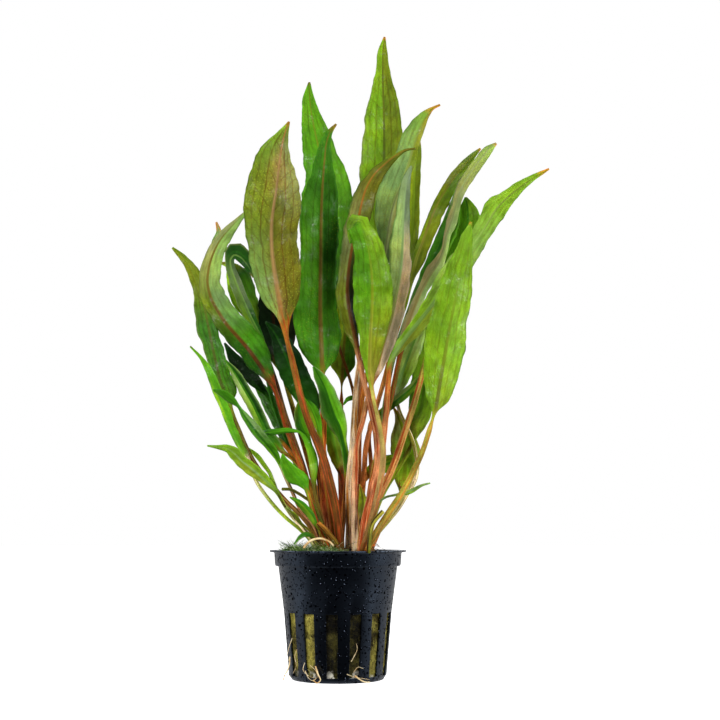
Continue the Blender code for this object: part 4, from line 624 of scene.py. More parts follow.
# The solids' own stacking: each leaf lies just in front of those behind it
stackSettings = {
    "bladeHalf": 0.26,  # half thickness of a blade and of a tip
    "tipHalf": 0.16,
    "gap": 0.5,
    "slope": 0.5,  # mm forward for each mm along
    "cell": 0.25,  # the grid that keeps how far forward the leaves reach, its corner and its size
    "low": np.array((-80.0, 40.0)),
    "cells": (760, 880),
    "stations": 900,
    "across": 61,
    "reach": 15,  # stations on each side that a push is smoothed over
}


def smoothRows(rows, count):
    # a Hermite curve through the rows: each tangent is its two neighbours' slopes, weighted by their steps
    rows = np.array(rows, float)
    steps = np.maximum(np.linalg.norm(np.diff(rows[:, :2], axis=0), axis=1), 1e-6)[:, None]
    slopes = np.diff(rows, axis=0) / steps
    inner = (slopes[:-1] * steps[1:] + slopes[1:] * steps[:-1]) / (steps[1:] + steps[:-1])
    tangents = np.concatenate((slopes[:1], inner, slopes[-1:]))
    spot = np.linspace(0.0, len(rows) - 1.0, count)
    cell = np.minimum(spot.astype(int), len(rows) - 2)
    u = (spot - cell)[:, None]
    run = steps[cell]
    return ((2 * u**3 - 3 * u**2 + 1) * rows[cell] + (u**3 - 2 * u**2 + u) * run * tangents[cell]
            + (3 * u**2 - 2 * u**3) * rows[cell + 1] + (u**3 - u**2) * run * tangents[cell + 1])


def leafRows(leaf):
    # rows of x, z, left, right, extra depth, half thickness and roll, from the leaf's points
    last = len(leaf.points) - 1
    radius = leaf.points[min(leaf.blade, last + 1) - 1][2]
    rows = []
    for number, point in enumerate(leaf.points):
        x, z, left = point[:3]
        right = point[3] if len(point) > 3 else left
        extra = point[4] if len(point) > 4 else 0.0
        part = (number - leaf.blade) / max(last - leaf.blade, 1)
        thick, roll = left, 0.0
        if number >= leaf.blade:
            thick = max(stackSettings["bladeHalf"], radius * 0.75 * (1 - 2.2 * part))
            roll = leaf.roll[0] + (leaf.roll[1] - leaf.roll[0]) * max(part, 0.0)
            if number == last:
                thick = stackSettings["tipHalf"]
        rows.append((x, z, left, right, extra, thick, roll))
    return rows


def chordLength(points):
    return np.concatenate(([0.0], np.cumsum(np.linalg.norm(np.diff(points, axis=0), axis=1))))


def leafLine(leaf, count):
    # the midline as seen, the direction across it, its share of the length and its depth
    line = smoothRows(leafRows(leaf), count)
    line[:, 2:4] = np.maximum(line[:, 2:4], 0.2)
    line[:, 5] = np.maximum(line[:, 5], stackSettings["tipHalf"])
    run = np.gradient(line[:, :2], axis=0)
    run /= np.linalg.norm(run, axis=1)[:, None]
    across = np.column_stack((run[:, 1], -run[:, 0]))
    length = chordLength(line[:, :2])
    share = length / length[-1]
    depth = leaf.depth[0] + (leaf.depth[1] - leaf.depth[0]) * share**1.6 + line[:, 4]
    return line, across, share, depth


def leafGrid(leaf, line, across, depth, v):
    # seen x and z and depth: v across the half width, turned by the roll and bent by the fold
    half = np.where(v < 0, line[:, 2:3], line[:, 3:4])
    seen = line[:, None, :2] + across[:, None, :] * (v * half)[:, :, None]
    turn = np.tan(np.radians(line[:, 6:7]))
    flat = (line[:, 5:6] < 0.98 * np.maximum(line[:, 2:3], 0.2)).astype(float)
    back = depth[:, None] + half * (v * turn + leaf.fold * np.abs(v) ** 1.5 * flat)
    return np.dstack((seen, back))


def easedPush(need, length):
    # the least push over every need that nowhere changes faster than the slope, then smoothed
    slack = stackSettings["slope"] * np.abs(length[:, None] - length[None, :])
    push = (need[None, :] - slack).max(axis=1)
    reach = stackSettings["reach"]
    padded = np.pad(push, 2 * reach, mode="edge")
    widest = np.lib.stride_tricks.sliding_window_view(padded, 2 * reach + 1).max(axis=1)
    return np.lib.stride_tricks.sliding_window_view(widest, 2 * reach + 1).mean(axis=1)


def stackLeaves(leaves):
    # from the back to the front, each leaf moves forward where it would touch what stands behind it
    s = stackSettings
    front = np.full(s["cells"], 1000.0)
    v = np.broadcast_to(np.linspace(-1.0, 1.0, s["across"]), (s["stations"], s["across"]))
    pushes = {}
    for leaf in leaves:
        line, across, share, depth = leafLine(leaf, s["stations"])
        grid = leafGrid(leaf, line, across, depth, v)
        spot = ((grid[:, :, :2] - s["low"]) / s["cell"]).astype(int)
        i, j = (np.clip(spot[..., k], 1, s["cells"][k] - 2) for k in range(2))
        thick = 1.12 * line[:, 5:6] * np.sqrt(1.02 - v**2)
        need = np.maximum((grid[:, :, 2] + thick - front[i, j] + s["gap"]).max(axis=1), 0.0)
        push = easedPush(need, chordLength(line[:, :2]))
        near = grid[:, :, 2] - push[:, None] - thick
        for di in (-1, 0, 1):
            for dj in (-1, 0, 1):
                np.minimum.at(front, (i + di, j + dj), near)
        pushes[leaf.name] = (share, push)
    return pushes


def placedPoints(grid):
    # a seen point slides along its own line of sight until it has the depth asked for
    eye = np.array(cameraSettings["place"])
    seen = np.stack((grid[..., 0], np.zeros(grid.shape[:-1]), grid[..., 1]), axis=-1)
    reach = (grid[..., 2:3] - eye[1]) / -eye[1]
    return eye + (seen - eye) * reach


# Colours as the eye sees them on the plant; paintShare allows for the light that adds up on it. The two
# darkest are painted shade, for leaves and parts of leaves that stand in shadow
paintShare = 0.80
paints = {
    "lime": "#96cc2a", "pea": "#86b82c", "fresh": "#74a41c", "bright": "#60ae1c", "leafGreen": "#569616",
    "grass": "#489014", "green": "#3c7c12", "forest": "#2a6410", "deep": "#1b4a0c", "night": "#0b2c08",
    "soot": "#141c07", "mint": "#7ca058", "steel": "#788e64", "chartreuse": "#a8c838",
    "yellowGreen": "#94b424", "oliveLight": "#86981e", "moss": "#6c8418", "oliveGreen": "#56761a",
    "olive": "#6c701c", "oliveDeep": "#4c5c14", "gold": "#9c9434", "pale": "#a2c46c",
    "underGreen": "#86ac50", "underGrey": "#8c985a", "underRose": "#a29c66", "bronze": "#746420",
    "bronzeRose": "#9a7c48", "copper": "#90601c", "cream": "#e0c8a0", "tan": "#c09450", "straw": "#aaa24a",
    "rosy": "#c88a5c", "salmon": "#d88048", "orange": "#dc7c24", "amber": "#b4742a", "rust": "#a0421a",
    "umber": "#643e14", "bark": "#341e08",
}


def paint(name):
    return linear(paints[name]) * paintShare


def gradient(names, share):
    # colours evenly spaced from 0 to 1, and straight between them
    stops = np.array([paint(name) for name in names.split()])
    spots = np.linspace(0.0, 1.0, len(stops))
    return np.stack([np.interp(share, spots, stops[:, k]) for k in range(3)], axis=-1)


# For each leaf: colours of its halves from base to tip, midrib base to tip, stalk foot to top, the stalk's
# stripes, the side towards the viewer, its tip's colour and length in mm, how strong its veins, mottling,
# pale dots and waves are, and the colours of its rim and of a band down its middle
lookDefaults = {
    "right": None, "rib": "oliveDeep", "stalk": "tan straw", "stripe": "amber", "side": "upper", "tip": None,
    "tipLength": 2.0, "veins": 0.5, "mottle": 0.7, "dots": 0.0, "wave": 0.45, "edge": None, "heart": None,
}
Look = namedtuple("Look", ["left", *lookDefaults], defaults=lookDefaults.values())
leafLooks = {
    "leaf_tallest": Look("green fresh fresh fresh fresh", "moss", "olive oliveDeep olive", "rosy tan rosy",
        "rosy", tip="orange", tipLength=1.6, veins=0.7),
    "leaf_olive_back": Look("yellowGreen yellowGreen oliveLight", "chartreuse yellowGreen moss moss moss",
        "yellowGreen moss", "salmon amber rust", "rust", tip="amber", veins=0.4),
    # painted shadow: deep green at the foot of the right half
    "leaf_green_back": Look("leafGreen underGreen grass leafGreen leafGreen",
        "deep green leafGreen leafGreen leafGreen", "oliveDeep moss", "amber umber", "umber", tip="umber",
        tipLength=1.5, veins=0.6),
    "leaf_olive_centre": Look("chartreuse yellowGreen moss", "leafGreen leafGreen green",
        "bronze oliveLight", "olive umber", "rust"),
    "leaf_shaded_left": Look("forest forest grass green", None, "forest", "oliveDeep olive", "umber"),
    # painted shade: nearly black-green, for the shadow this leaf stands in
    "leaf_shaded_outer_left": Look("green deep night night deep", "night night night deep", "night",
        "green", "forest"),
    "leaf_curled_left_back": Look("green underGreen mint", "green pale mint", "underRose mint", "forest",
        "green", "under", tip="orange", tipLength=4, veins=0.3),
    "leaf_yellow_left": Look("lime", "lime pea leafGreen deep oliveLight", "oliveLight olive",
        "olive straw", "umber", tip="straw", veins=0.4),
    # painted shade: nearly black, for the deep shadow this leaf stands in
    "leaf_deep_shade_left": Look("soot night soot soot", "soot", "bark", "rust amber moss", "bark",
        veins=0.2),
    # painted sheen: pale mint and steel where the leaf bends over, between deep greens
    "leaf_bent_left": Look("moss fresh mint deep deep", "forest forest steel deep deep",
        "green underGreen deep", "tan bark", "bark", veins=0.2, tip="straw"),
    "leaf_drooping_right": Look("chartreuse lime lime pale cream", "lime lime lime gold",
        "yellowGreen oliveLight", "tan pea", "rust", tip="orange", tipLength=3, edge="gold"),
    "leaf_small_right": Look("lime", "lime pea", "leafGreen", "tan amber", "amber"),
    "leaf_wavy_right": Look("moss leafGreen pea leafGreen", "moss leafGreen leafGreen", "oliveDeep grass",
        "rosy yellowGreen moss", "olive", wave=0.8),
    "leaf_green_right_back": Look("pale underGreen underGreen pale", "pale pea pale lime", "mint leafGreen",
        "straw gold olive", "cream"),
    "leaf_narrow_right": Look("rosy lime underGreen pea", "lime leafGreen pea", "grass",
        "salmon rosy amber", "rust"),
    "leaf_dark_right": Look("fresh pea leafGreen leafGreen", "grass grass fresh", "green",
        "salmon tan gold", "rust", veins=0.5),
    "leaf_arching_right": Look("chartreuse yellowGreen yellowGreen oliveLight underGreen",
        "yellowGreen oliveLight oliveLight fresh moss", "chartreuse gold oliveLight",
        "orange salmon bronzeRose", "amber", "under", tip="orange", tipLength=1.6, veins=0.3),
    "leaf_dark_slender_right": Look("steel green green green mint", "leafGreen", "forest", "moss mint",
        "bark", veins=0.25),
    "leaf_pink_wavy_right": Look("underRose underRose underRose underGrey underGreen",
        "cream pale pale underGrey underGreen", "bronzeRose underGrey underGrey", "rosy gold umber", "rust",
        "under", tip="amber", tipLength=1.6, veins=0.25, wave=0.7, dots=0.3),
    "leaf_yellow_small_left": Look("lime gold", "gold lime", "grass", "orange", "amber", veins=0.2),
    "leaf_thread_left": Look("pale chartreuse lime lime", None, "lime", "straw grass", "olive", veins=0.1),
    "leaf_outer_left": Look("moss green green moss oliveLight", "leafGreen green green moss moss",
        "oliveDeep oliveDeep oliveLight", "copper bronzeRose olive", "umber", veins=0.8, wave=0.7,
        dots=0.15),
    "leaf_edged_left": Look("green green pea pale leafGreen", "leafGreen forest deep deep deep",
        "green green grass", "olive oliveLight", "rust", veins=0.2, wave=0.6, edge="mint"),
    "leaf_curved_left": Look("deep forest moss underGrey underGrey",
        "forest grass mint underGreen underGreen", "bark umber bronze bronze underGreen",
        "bronze copper umber", "rust", "under", veins=0.4, dots=0.12),
    # painted shade: darkening to nearly black towards the tip, for the shadow this leaf stands in
    "leaf_broad_shaded": Look("green forest deep night night", "forest deep night night night", "deep",
        "umber tan copper", "rust", veins=0.25),
    "leaf_grass_right": Look("orange pea pale", "gold mint lime pale", "mint", "green forest", "deep",
        veins=0.1),
    "leaf_shaded_centre": Look("yellowGreen oliveLight grass forest", "bronze pea fresh", "pea grass",
        "orange umber", "rust", veins=0.25),
    "leaf_dark_front": Look("grass grass bright green green", "green grass forest green green",
        "bronze bronze bronze olive", "rosy amber orange", "rust", "under", tip="copper", tipLength=4,
        veins=0.5, dots=0.3),
    "leaf_light_behind_bronze": Look("umber lime lime bright", "moss bright grass grass deep", "bright",
        "umber copper bronze", "rust"),
    "leaf_beside_bronze": Look("umber deep forest moss", "grass bright bright green", "green", "rust amber",
        "bark", veins=0.3),
    "leaf_arch_left": Look("bronze pea bright green forest", "moss bright grass grass forest",
        "yellowGreen bright green", "umber bronze", "bark", veins=0.3),
    "leaflet_centre": Look("grass leafGreen", None, "green", "umber", "bark", veins=0.2),
    "leaf_folded_front": Look("fresh grass forest forest grass", "deep fresh bright bright forest",
        "forest", "salmon amber", "umber", veins=0.3, edge="mint"),
    # painted shade: dark olive at the foot of the blade
    "leaf_grey_tip_orange": Look("oliveDeep oliveGreen mint mint fresh",
        "oliveDeep deep underGrey moss gold", "oliveDeep underGrey oliveLight", "cream cream cream",
        "amber", "under", tip="orange", tipLength=6.5, veins=0.45, dots=0.35),
    "leaf_pink_underside": Look("pale pale pale pale steel", "cream cream cream steel steel",
        "amber pale steel", "cream rosy bronzeRose", "rust", "under", veins=0.3, dots=0.5),
    "leaflet_front": Look("amber olive oliveLight oliveLight bronzeRose", "yellowGreen yellowGreen amber",
        "olive", "tan bronzeRose", "bark", veins=0.2),
    # painted shadow: the right half starts nearly black at its foot
    "leaf_bronze_right": Look("olive oliveLight underGrey olive moss",
        "soot soot oliveDeep olive oliveDeep", "umber umber copper bronze", "rosy rosy rosy", "rust",
        "under", tip="oliveDeep", tipLength=6, veins=0.5, dots=0.25),
    "leaf_big_right": Look("pea lime underGreen pea fresh", "gold chartreuse underGreen pea pea",
        "underGreen underGreen oliveLight", "salmon rosy amber", "rust", "under", tip="orange",
        tipLength=5.5, veins=0.45, wave=0.8, dots=0.1),
    "leaf_rounded_front": Look("fresh fresh leafGreen leafGreen leafGreen",
        "gold oliveLight fresh fresh fresh", "gold oliveLight grass", "umber bronzeRose straw", "rust",
        veins=0.5, wave=0.8, dots=0.12),
    "leaf_broad_right": Look("fresh fresh fresh fresh pea", "oliveLight pea pea fresh fresh",
        "olive moss fresh", "bronze gold gold", "amber", tip="amber", tipLength=1.5, veins=0.5, dots=0.2),
    "leaf_bright_outer_left": Look("lime bright lime bright lime", "moss bright bright bright fresh",
        "bright", "oliveLight chartreuse cream", "olive", tip="umber", tipLength=1.5, veins=0.2),
    "leaf_twisted_left": Look("lime bright grass green grass", "bright green mint grass green",
        "grass forest green", "umber rosy underRose", "bark", veins=0.3, wave=0.6),
    "leaf_low_left": Look("yellowGreen chartreuse chartreuse lime pea", "pea pea pea pea fresh",
        "pea pale pea", "olive cream yellowGreen", "bark", veins=0.3, wave=0.6),
    "stub_left": Look("olive", None, "olive", "oliveDeep olive olive oliveDeep", "bark"),
    "leaf_ovate_left": Look("fresh grass bright bright bright", "grass grass bright bright bright",
        "green bright", "olive amber oliveLight", "rust", veins=0.35),
    "leaf_slim_left": Look("olive fresh fresh grass grass", "grass green grass grass grass", "fresh",
        "rosy umber olive", "bark", veins=0.3),
    "leaf_tiny_left": Look("olive olive olive pale", "oliveDeep olive oliveLight pale", "oliveDeep",
        "oliveDeep bronze olive", "bark", veins=0.2),
    "leaf_arching_low_left": Look("green green mint pale", "oliveDeep green mint", "forest",
        "pea bronzeRose oliveDeep", "bark", veins=0.2),
    "leaf_bronze_front": Look("underGreen underGreen moss moss pea", "oliveDeep olive olive underGrey moss",
        "copper bronzeRose bronzeRose bronzeRose copper", "umber umber copper", "rust", "under",
        tip="copper", tipLength=2.5, veins=1, dots=0.5,
        heart="bronzeRose bronze olive olive bronzeRose moss"),
    "stub_front": Look("amber", None, "amber", "bronze amber amber", "bark"),
    "stub_right": Look("amber", None, "amber", "olive gold olive", "bark"),
}

leafShape = {
    "stalkStep": 1.5,  # mm between stations
    "bladeStep": 0.9,
    "fewestSides": 20,
    "mostSides": 52,
    "bladeThick": 0.2,  # half thickness
    "transition": 8.0,  # mm over which the stalk flattens
    "ribRaise": 0.85,  # how far the midrib stands out below, in stalk radii
    "ribRaiseAbove": 0.18,
    "waveLengths": (13.0, 7.5),
    "margin": [(0.26, 6.5), (0.13, 2.8)],  # reach and length of the margin's steps
    "swellings": [(0.16, 10.0), (0.06, 4.0)],
    "footDrop": 1.0,  # how much deeper the feet reach into the crown than the solids' feet
    "footLevel": 49.0,
    "stalkRibs": 0.055,  # how deep a stalk's long grooves are, in radii
    "halvesMeet": 0.36,  # share of the half width over which the halves' colours meet
    "heart": 0.75,
    "farBlend": 0.6,
}


def pieceName(node):
    # leaf_big_right becomes leafBigRight
    first, *rest = node.split("_")
    return first + "".join(word.capitalize() for word in rest)


def between(one, other, share):
    return one * (1 - share) + other * share


def leafStations(leaf, along):
    # closer stations on the blade than on the stalk
    total, last = along[-1], len(leaf.points) - 1
    if leaf.blade > last:
        return np.linspace(0, total, int(total / leafShape["bladeStep"]) + 2), total * 2
    bladeAt = np.interp(leaf.blade - 0.6, np.linspace(0, last, len(along)), along)
    stalk = np.linspace(0, bladeAt, int(bladeAt / leafShape["stalkStep"]) + 2)[:-1]
    blade = np.linspace(bladeAt, total, int((total - bladeAt) / leafShape["bladeStep"]) + 2)
    return np.concatenate((stalk, blade)), bladeAt


def leafTints(style, v, far, part, leafness, stalkShare, toTip):
    # colours of the tissue and of the midrib or the stalk's stripes, at each station and side
    band = leafShape["halvesMeet"]
    left, right = (gradient(names, part)[:, None] for names in (style.left, style.right or style.left))
    tint = between(left, right, np.clip(v / band + 0.5, 0, 1)[:, :, None])
    if style.heart:
        middle = leafShape["heart"] * np.exp(-(v / band) ** 2)[:, :, None]
        tint = between(tint, gradient(style.heart, part)[:, None], middle)
    if style.edge:
        tint = between(tint, paint(style.edge), np.abs(v)[:, :, None] ** 6)
    farSide = paint("underGrey" if style.side == "upper" else "forest")
    tint = between(tint, farSide, np.where(far > 0, leafShape["farBlend"], 0.0)[:, :, None])
    blend = leafness[:, :, None]
    tint = between(gradient(style.stalk, stalkShare)[:, None], tint, np.clip(2.4 * blend, 0, 1))
    if style.tip:
        tint = between(tint, paint(style.tip), toTip[:, None, None] ** 0.7)
    return tint, between(paint(style.stripe), gradient(style.rib, part)[:, None], blend)


def makeLeaf(leaf, pushes, number, skins):
    style, s = leafLooks[leaf.name], leafShape
    dice = np.random.default_rng(700 + number)
    fineLine, fineAcross, fineShare, fineDepth = leafLine(leaf, stackSettings["stations"])
    fineDepth = fineDepth - np.interp(fineShare, *pushes[leaf.name])
    fineAlong = chordLength(fineLine[:, :2])
    along, bladeAt = leafStations(leaf, fineAlong)
    table = np.column_stack((fineLine, fineAcross, fineDepth))
    table = np.stack([np.interp(along, fineAlong, column) for column in table.T], axis=1)
    line, across, depth = table[:, :7], table[:, 7:9], table[:, 9]
    bladeLength = max(along[-1] - bladeAt, 1.0)
    part = np.clip((along - bladeAt) / bladeLength, 0, 1)
    ease = np.clip((along - bladeAt) / min(s["transition"], 0.2 * bladeLength + 0.5), 0, 1)
    leafness = (ease * ease * (3 - 2 * ease))[:, None]
    # round the section: v is the share of the half width, closer near the midrib; far is 1 on the far face
    widest = line[:, 2:4].max()
    sides = round(s["fewestSides"] + 3.0 * (widest - 1.5)) // 2 * 2
    sides = int(np.clip(sides, s["fewestSides"], s["mostSides"]))
    turn = evenAngles(sides)
    t = np.where(turn <= np.pi, 1 - 2 * turn / np.pi, 2 * turn / np.pi - 3)
    v = between(np.cos(turn), t * (0.65 + 0.35 * t * t), leafness)
    far = np.where((turn == 0) | (turn == np.pi), 0.0, np.where(turn < np.pi, 1.0, -1.0))[None, :]
    side = np.where(v < 0, 0, 1)
    # the margin runs in and out by a fraction of a millimetre, in long and short steps
    room = np.clip(line[:, 2:4] / 4.0, 0.0, 1.0) * leafness
    for k, shift in enumerate((0.0, 55.0)):
        edge = np.stack(np.broadcast_arrays(90.0 * k, 30.0 * number, along), axis=-1) + shift
        for reach, length in s["margin"]:
            line[:, 2 + k] += reach * room[:, k] * ripple(edge, length, 11 + k + number)
    line[:, 2:4] = np.maximum(line[:, 2:4], 0.16)
    half = np.where(v < 0, line[:, 2:3], line[:, 3:4])
    # waves along each margin, and slow swellings all over the blade
    grid = leafGrid(leaf, line, across, depth, v)
    phase = dice.uniform(0, 2 * np.pi, (2, 2))
    one, two = (2 * np.pi * along[:, None] / length + phase[k][side]
                for k, length in enumerate(s["waveLengths"]))
    size = np.clip(half / 5.0, 0.0, 1.0) * leafness * style.wave
    grid[:, :, 2] += size * (np.sin(one) + 0.5 * np.sin(two)) * np.abs(v) ** 2
    flat = np.stack(np.broadcast_arrays(v * half, 40.0 * number, along[:, None]), axis=-1)
    for reach, length in s["swellings"]:
        grid[:, :, 2] += reach * leafness * np.clip(half / 4.0, 0, 1) * ripple(flat, length, 21 + number)
    surface = placedPoints(grid)
    three = np.broadcast_to((-0.3, 0.0, 0.3), (len(line), 3))
    middle = placedPoints(leafGrid(leaf, line, across, depth, three))
    away = np.cross(np.gradient(middle[:, 1], axis=0), middle[:, 2] - middle[:, 0])
    away /= np.linalg.norm(away, axis=1)[:, None]
    # thickness: round on the stalk with long grooves, thin on the blade with a midrib that fades to the tip
    stalkRadius = leaf.points[min(leaf.blade, len(leaf.points)) - 1][2]
    fade = 1 - part[:, None]
    ribWidth = 0.15 + 0.78 * stalkRadius * fade**0.75
    ribFace = far > 0 if style.side == "upper" else far < 0
    raised = np.where(ribFace, s["ribRaise"], s["ribRaiseAbove"])
    crest = raised * stalkRadius * fade**1.1 * np.exp(-(v * half / (ribWidth * 1.05)) ** 2)
    grooves = 1 - s["stalkRibs"] * (1 + np.cos(5 * turn[None, :] + phase[0][0]))
    rounding = np.sqrt(np.clip(1 - v**2, 0, 1))
    flatPart = s["bladeThick"] * np.sqrt(np.clip(1 - v**8, 0, 1)) + crest * rounding
    thick = between(line[:, 2:3] * rounding * grooves, flatPart, leafness)
    points = surface + away[:, None, :] * (far * thick)[:, :, None]
    if points[0, 0, 2] < s["footLevel"]:
        points[0, :, 2] -= s["footDrop"]
    item = closedTube(pieceName(leaf.name), points)
    stalkShare = np.clip(along / max(bladeAt, 1.0), 0, 1)
    toTip = np.clip(1 - (along[-1] - along) / style.tipLength, 0, 1)
    tint, ribTint = leafTints(style, v, far, part, leafness, stalkShare, toTip)
    tables = {
        "vein": (v * half, v, along[:, None]),
        "form": (ribWidth, half, leafness),
        "marks": (style.veins, style.mottle, style.dots),
        "grain": (v * half + 20 * number, far * thick, along[:, None]),
        "tint": (*np.moveaxis(tint, -1, 0), 1.0),
        "ribTint": (*np.moveaxis(ribTint, -1, 0), 1.0),
    }
    for name, parts in tables.items():
        values = np.stack(np.broadcast_arrays(*parts, v)[:-1], axis=-1).reshape(-1, len(parts))
        attach(item, name, np.concatenate((values, values[[0, -1]])))
    for skin in skins if style.side == "under" else skins[::-1]:
        item.data.materials.append(skin)
    nearFace = np.broadcast_to(turn >= np.pi, (len(line) - 1, sides)).ravel()
    index = np.concatenate((nearFace, np.ones(2 * sides, bool))).astype(np.int32)
    item.data.polygons.foreach_set("material_index", index)
    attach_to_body(item, "root")
    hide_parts(leaf.name)
    return item


def addLeaves():
    pushes = stackLeaves(leafTable)
    skins = leafSkin("leafUpperSkin"), leafSkin("leafUnderSkin")
    made = [makeLeaf(leaf, pushes, number, skins) for number, leaf in enumerate(leafTable)]
    print("leaves:", len(made), "with", sum(len(item.data.polygons) for item in made), "faces")


# Pot: one section carried round, with the wall left out at the slots
potSettings = {
    "height": 48.0,
    "lipRadius": 26.0,
    "lipThick": 0.7,
    "collarRadius": 24.2,
    "collarFoot": 42.0,
    "bodyTopRadius": 22.6,
    "slotTopRadius": 20.4,
    "baseRadius": 18.0,
    "wall": 0.9,
    "floor": 1.3,
    "slots": 14,
    "slotWidthDeg": 12.5,
    "slotFoot": 1.9,
    "slotTop": 25.0,
    "bandTop": 33.0,
    "phaseDeg": -5.5,
    "stepsInSlot": 4,
    "stepsInRib": 5,
    "edge": 0.16,
    "beads": [(560.0, 0.40, 1.2), (1000.0, 0.42, 0.7)],  # per metre, reach in its cell, height
    "sheen": 0.85,
}


def wallRadius(z):
    s = potSettings
    return np.interp(z, (0.0, 1.6, s["slotTop"], s["collarFoot"]),
                     (s["baseRadius"] - 0.8, s["baseRadius"] + 0.4, s["slotTopRadius"], s["bodyTopRadius"]))


def potPlastic():
    # black polypropylene, injection moulded: glossy with a cool sheen, and spotted with drops of water,
    # which show as dull rings round pale flecks, painted highlights of the drops. The drops stand 1.8 and 1
    # mm apart, in patches of 10 mm, and the mould's grain is drawn 0.7 mm wide, coarser than real, so that it
    # shows
    made, add = newMaterial("potPolypropylene")
    place = add("TexCoord", output=3)
    broad, pebble = (add("TexNoise", {"Vector": place, "Scale": scale, "Detail": 2.0})
                     for scale in (95.0, 1500.0))
    height = add("Math", (pebble, 0.22), operation="MULTIPLY")
    wet, paintedGlints = 0.0, 0.0
    for scale, edge, tall in potSettings["beads"]:
        # each bead is a low dome in its own cell, and only some cells have one
        cell, lot = (add("TexVoronoi", {"Vector": place, "Scale": scale}, output=k) for k in range(2))
        lot = add("Math", (add("SeparateXYZ", (lot,)), broad), operation="ADD")
        lot = add("MapRange", (lot, 0.86, 0.90, 0.0, 1.0))
        dome = add("MapRange", (cell, edge * 0.35, edge, 1.0, 0.0), **smooth)
        # painted highlight: a pale glint at the middle of each drop
        paintedGlint = add("MapRange", (cell, edge * 0.18, edge * 0.30, 1.0, 0.0))
        dome, paintedGlint = (add("Math", (field, lot), operation="MULTIPLY") for field in (dome, paintedGlint))
        height = add("Math", (dome, tall, height), operation="MULTIPLY_ADD")
        wet = add("Math", (wet, dome), operation="MAXIMUM")
        paintedGlints = add("Math", (paintedGlints, paintedGlint), operation="MAXIMUM")
    bump = add("Bump", {"Height": height, "Strength": 0.6, "Distance": 0.00008})
    sheen = add("MapRange", (wet, 0.05, 0.4, potSettings["sheen"], 0.0))
    # painted highlights: the pale glints laid over the black plastic
    colour = add("Mix", {0: paintedGlints, 6: rgba("#010102"), 7: rgba("#6c7688")}, **mixed)
    return setShader(made, {"Base Color": colour, "Roughness": 0.25, "Normal": bump,
                            "Specular IOR Level": sheen, "Specular Tint": (0.52, 0.70, 1.0, 1.0)})


def addPot():
    s = potSettings
    height, lip, collar, wall = s["height"], s["lipRadius"], s["collarRadius"], s["wall"]
    body, foot, slotTop, collarFoot = s["bodyTopRadius"], s["slotFoot"], s["slotTop"], s["collarFoot"]
    lipFoot = height - s["lipThick"]
    outer = [(wallRadius(z), z) for z in (0.0, foot, slotTop, s["bandTop"])] + [
        (body, collarFoot), (collar - 0.5, collarFoot + 0.15), (collar - 0.25, collarFoot + 0.9),
        (collar, lipFoot - 0.4), (collar + 0.4, lipFoot), (lip - 0.25, lipFoot), (lip, lipFoot + 0.2),
        (lip, height - 0.15), (lip - 0.2, height)]
    inner = [(collar - wall + 0.3, height), (collar - wall, height - 0.5),
             (collar - wall - 0.4, collarFoot + 1.2), (body - wall, collarFoot)]
    inner += [(wallRadius(z) - wall, z) for z in (slotTop, foot)]
    inner += [(wallRadius(s["floor"]) - wall - 0.3, s["floor"])]
    section = np.array(outer + inner)
    footOut, topOut, topIn, footIn = 1, 2, len(section) - 3, len(section) - 2
    pitch, halfSlot = 360.0 / s["slots"], s["slotWidthDeg"] / 2
    marks = np.concatenate((np.linspace(-halfSlot, halfSlot, s["stepsInSlot"] + 1),
                            np.linspace(halfSlot, pitch - halfSlot, s["stepsInRib"] + 1)[1:-1]))
    slot = pitch * np.arange(s["slots"])[:, None]
    ring = direction(np.radians((s["phaseDeg"] - 90 + slot + marks[None, :]).ravel()))
    size, columns = len(section), len(ring)
    points = np.empty((columns, size, 3))
    points[..., :2] = ring[:, None, :] * section[None, :, :1]
    points[..., 2] = section[:, 1]
    here = np.arange(columns)[:, None] * size + np.arange(size)[None, :]
    there = np.roll(here, -1, axis=0)
    # the wall's quads without those across a slot, then the ledges and flanks that line it
    inSlot = (np.arange(columns) % len(marks)) < s["stepsInSlot"]
    band = np.isin(np.arange(size - 1), (footOut, topIn))
    keep = ~(inSlot[:, None] & band[None, :])
    quads = np.stack((here[:, :-1], there[:, :-1], there[:, 1:], here[:, 1:]), axis=-1)[keep]
    ledges = [np.stack((here[inSlot, k], there[inSlot, k], there[inSlot, j], here[inSlot, j]), axis=-1)
              for k, j in ((footOut, footIn), (topOut, topIn))]
    flank = here[np.isin(np.arange(columns) % len(marks), (0, s["stepsInSlot"]))]
    flanks = flank[:, (footOut, topOut, topIn, footIn)]
    fans = np.concatenate([np.stack((np.full(columns, columns * size + k), here[:, -k], there[:, -k]), -1)
                           for k in range(2)])
    allPoints = np.concatenate((points.reshape(-1, 3), ((0, 0, 0.0), (0, 0, s["floor"]))))
    item = makeMesh("netPot", allPoints, np.concatenate([quads, *ledges, flanks]), fans)
    mesh = bmesh.new()
    mesh.from_mesh(item.data)
    bmesh.ops.recalc_face_normals(mesh, faces=mesh.faces)
    mesh.to_mesh(item.data)
    mesh.free()
    bevel = item.modifiers.new("moulded edges", "BEVEL")
    bevel.width = s["edge"] * mm
    bevel.segments = 2
    bevel.limit_method = "ANGLE"
    bevel.angle_limit = np.radians(38)
    item.data.materials.append(potPlastic())
    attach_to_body(item, "root")
    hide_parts("pot")
    print("pot:", len(item.data.polygons), "faces before its bevels")


# Wool: a plug of matted fibres
woolSettings = {
    "low": 1.6,
    "top": 43.6,
    "shoulder": 2.0,  # how far below the top the plug's edge starts to round over
    "inset": 1.5,
    "clear": 1.05,  # least distance to the pot's outer face
    "sides": 200,
    "levels": 90,
    "lumps": 0.42,
    "fibres": 2600,
    "fibreTop": 27.0,
    "fibreRadius": 0.055,
    "fibreLength": (3.0, 9.0),
    "peat": (2.5, 6.5, 12.0),  # mm: middle of the dark band of painted shade, where it starts to fade, where it ends
    "peatShade": 0.16,
    "whiteFoot": (3.2, 5.0),  # mm above the ground: white below the first, none above the second
}


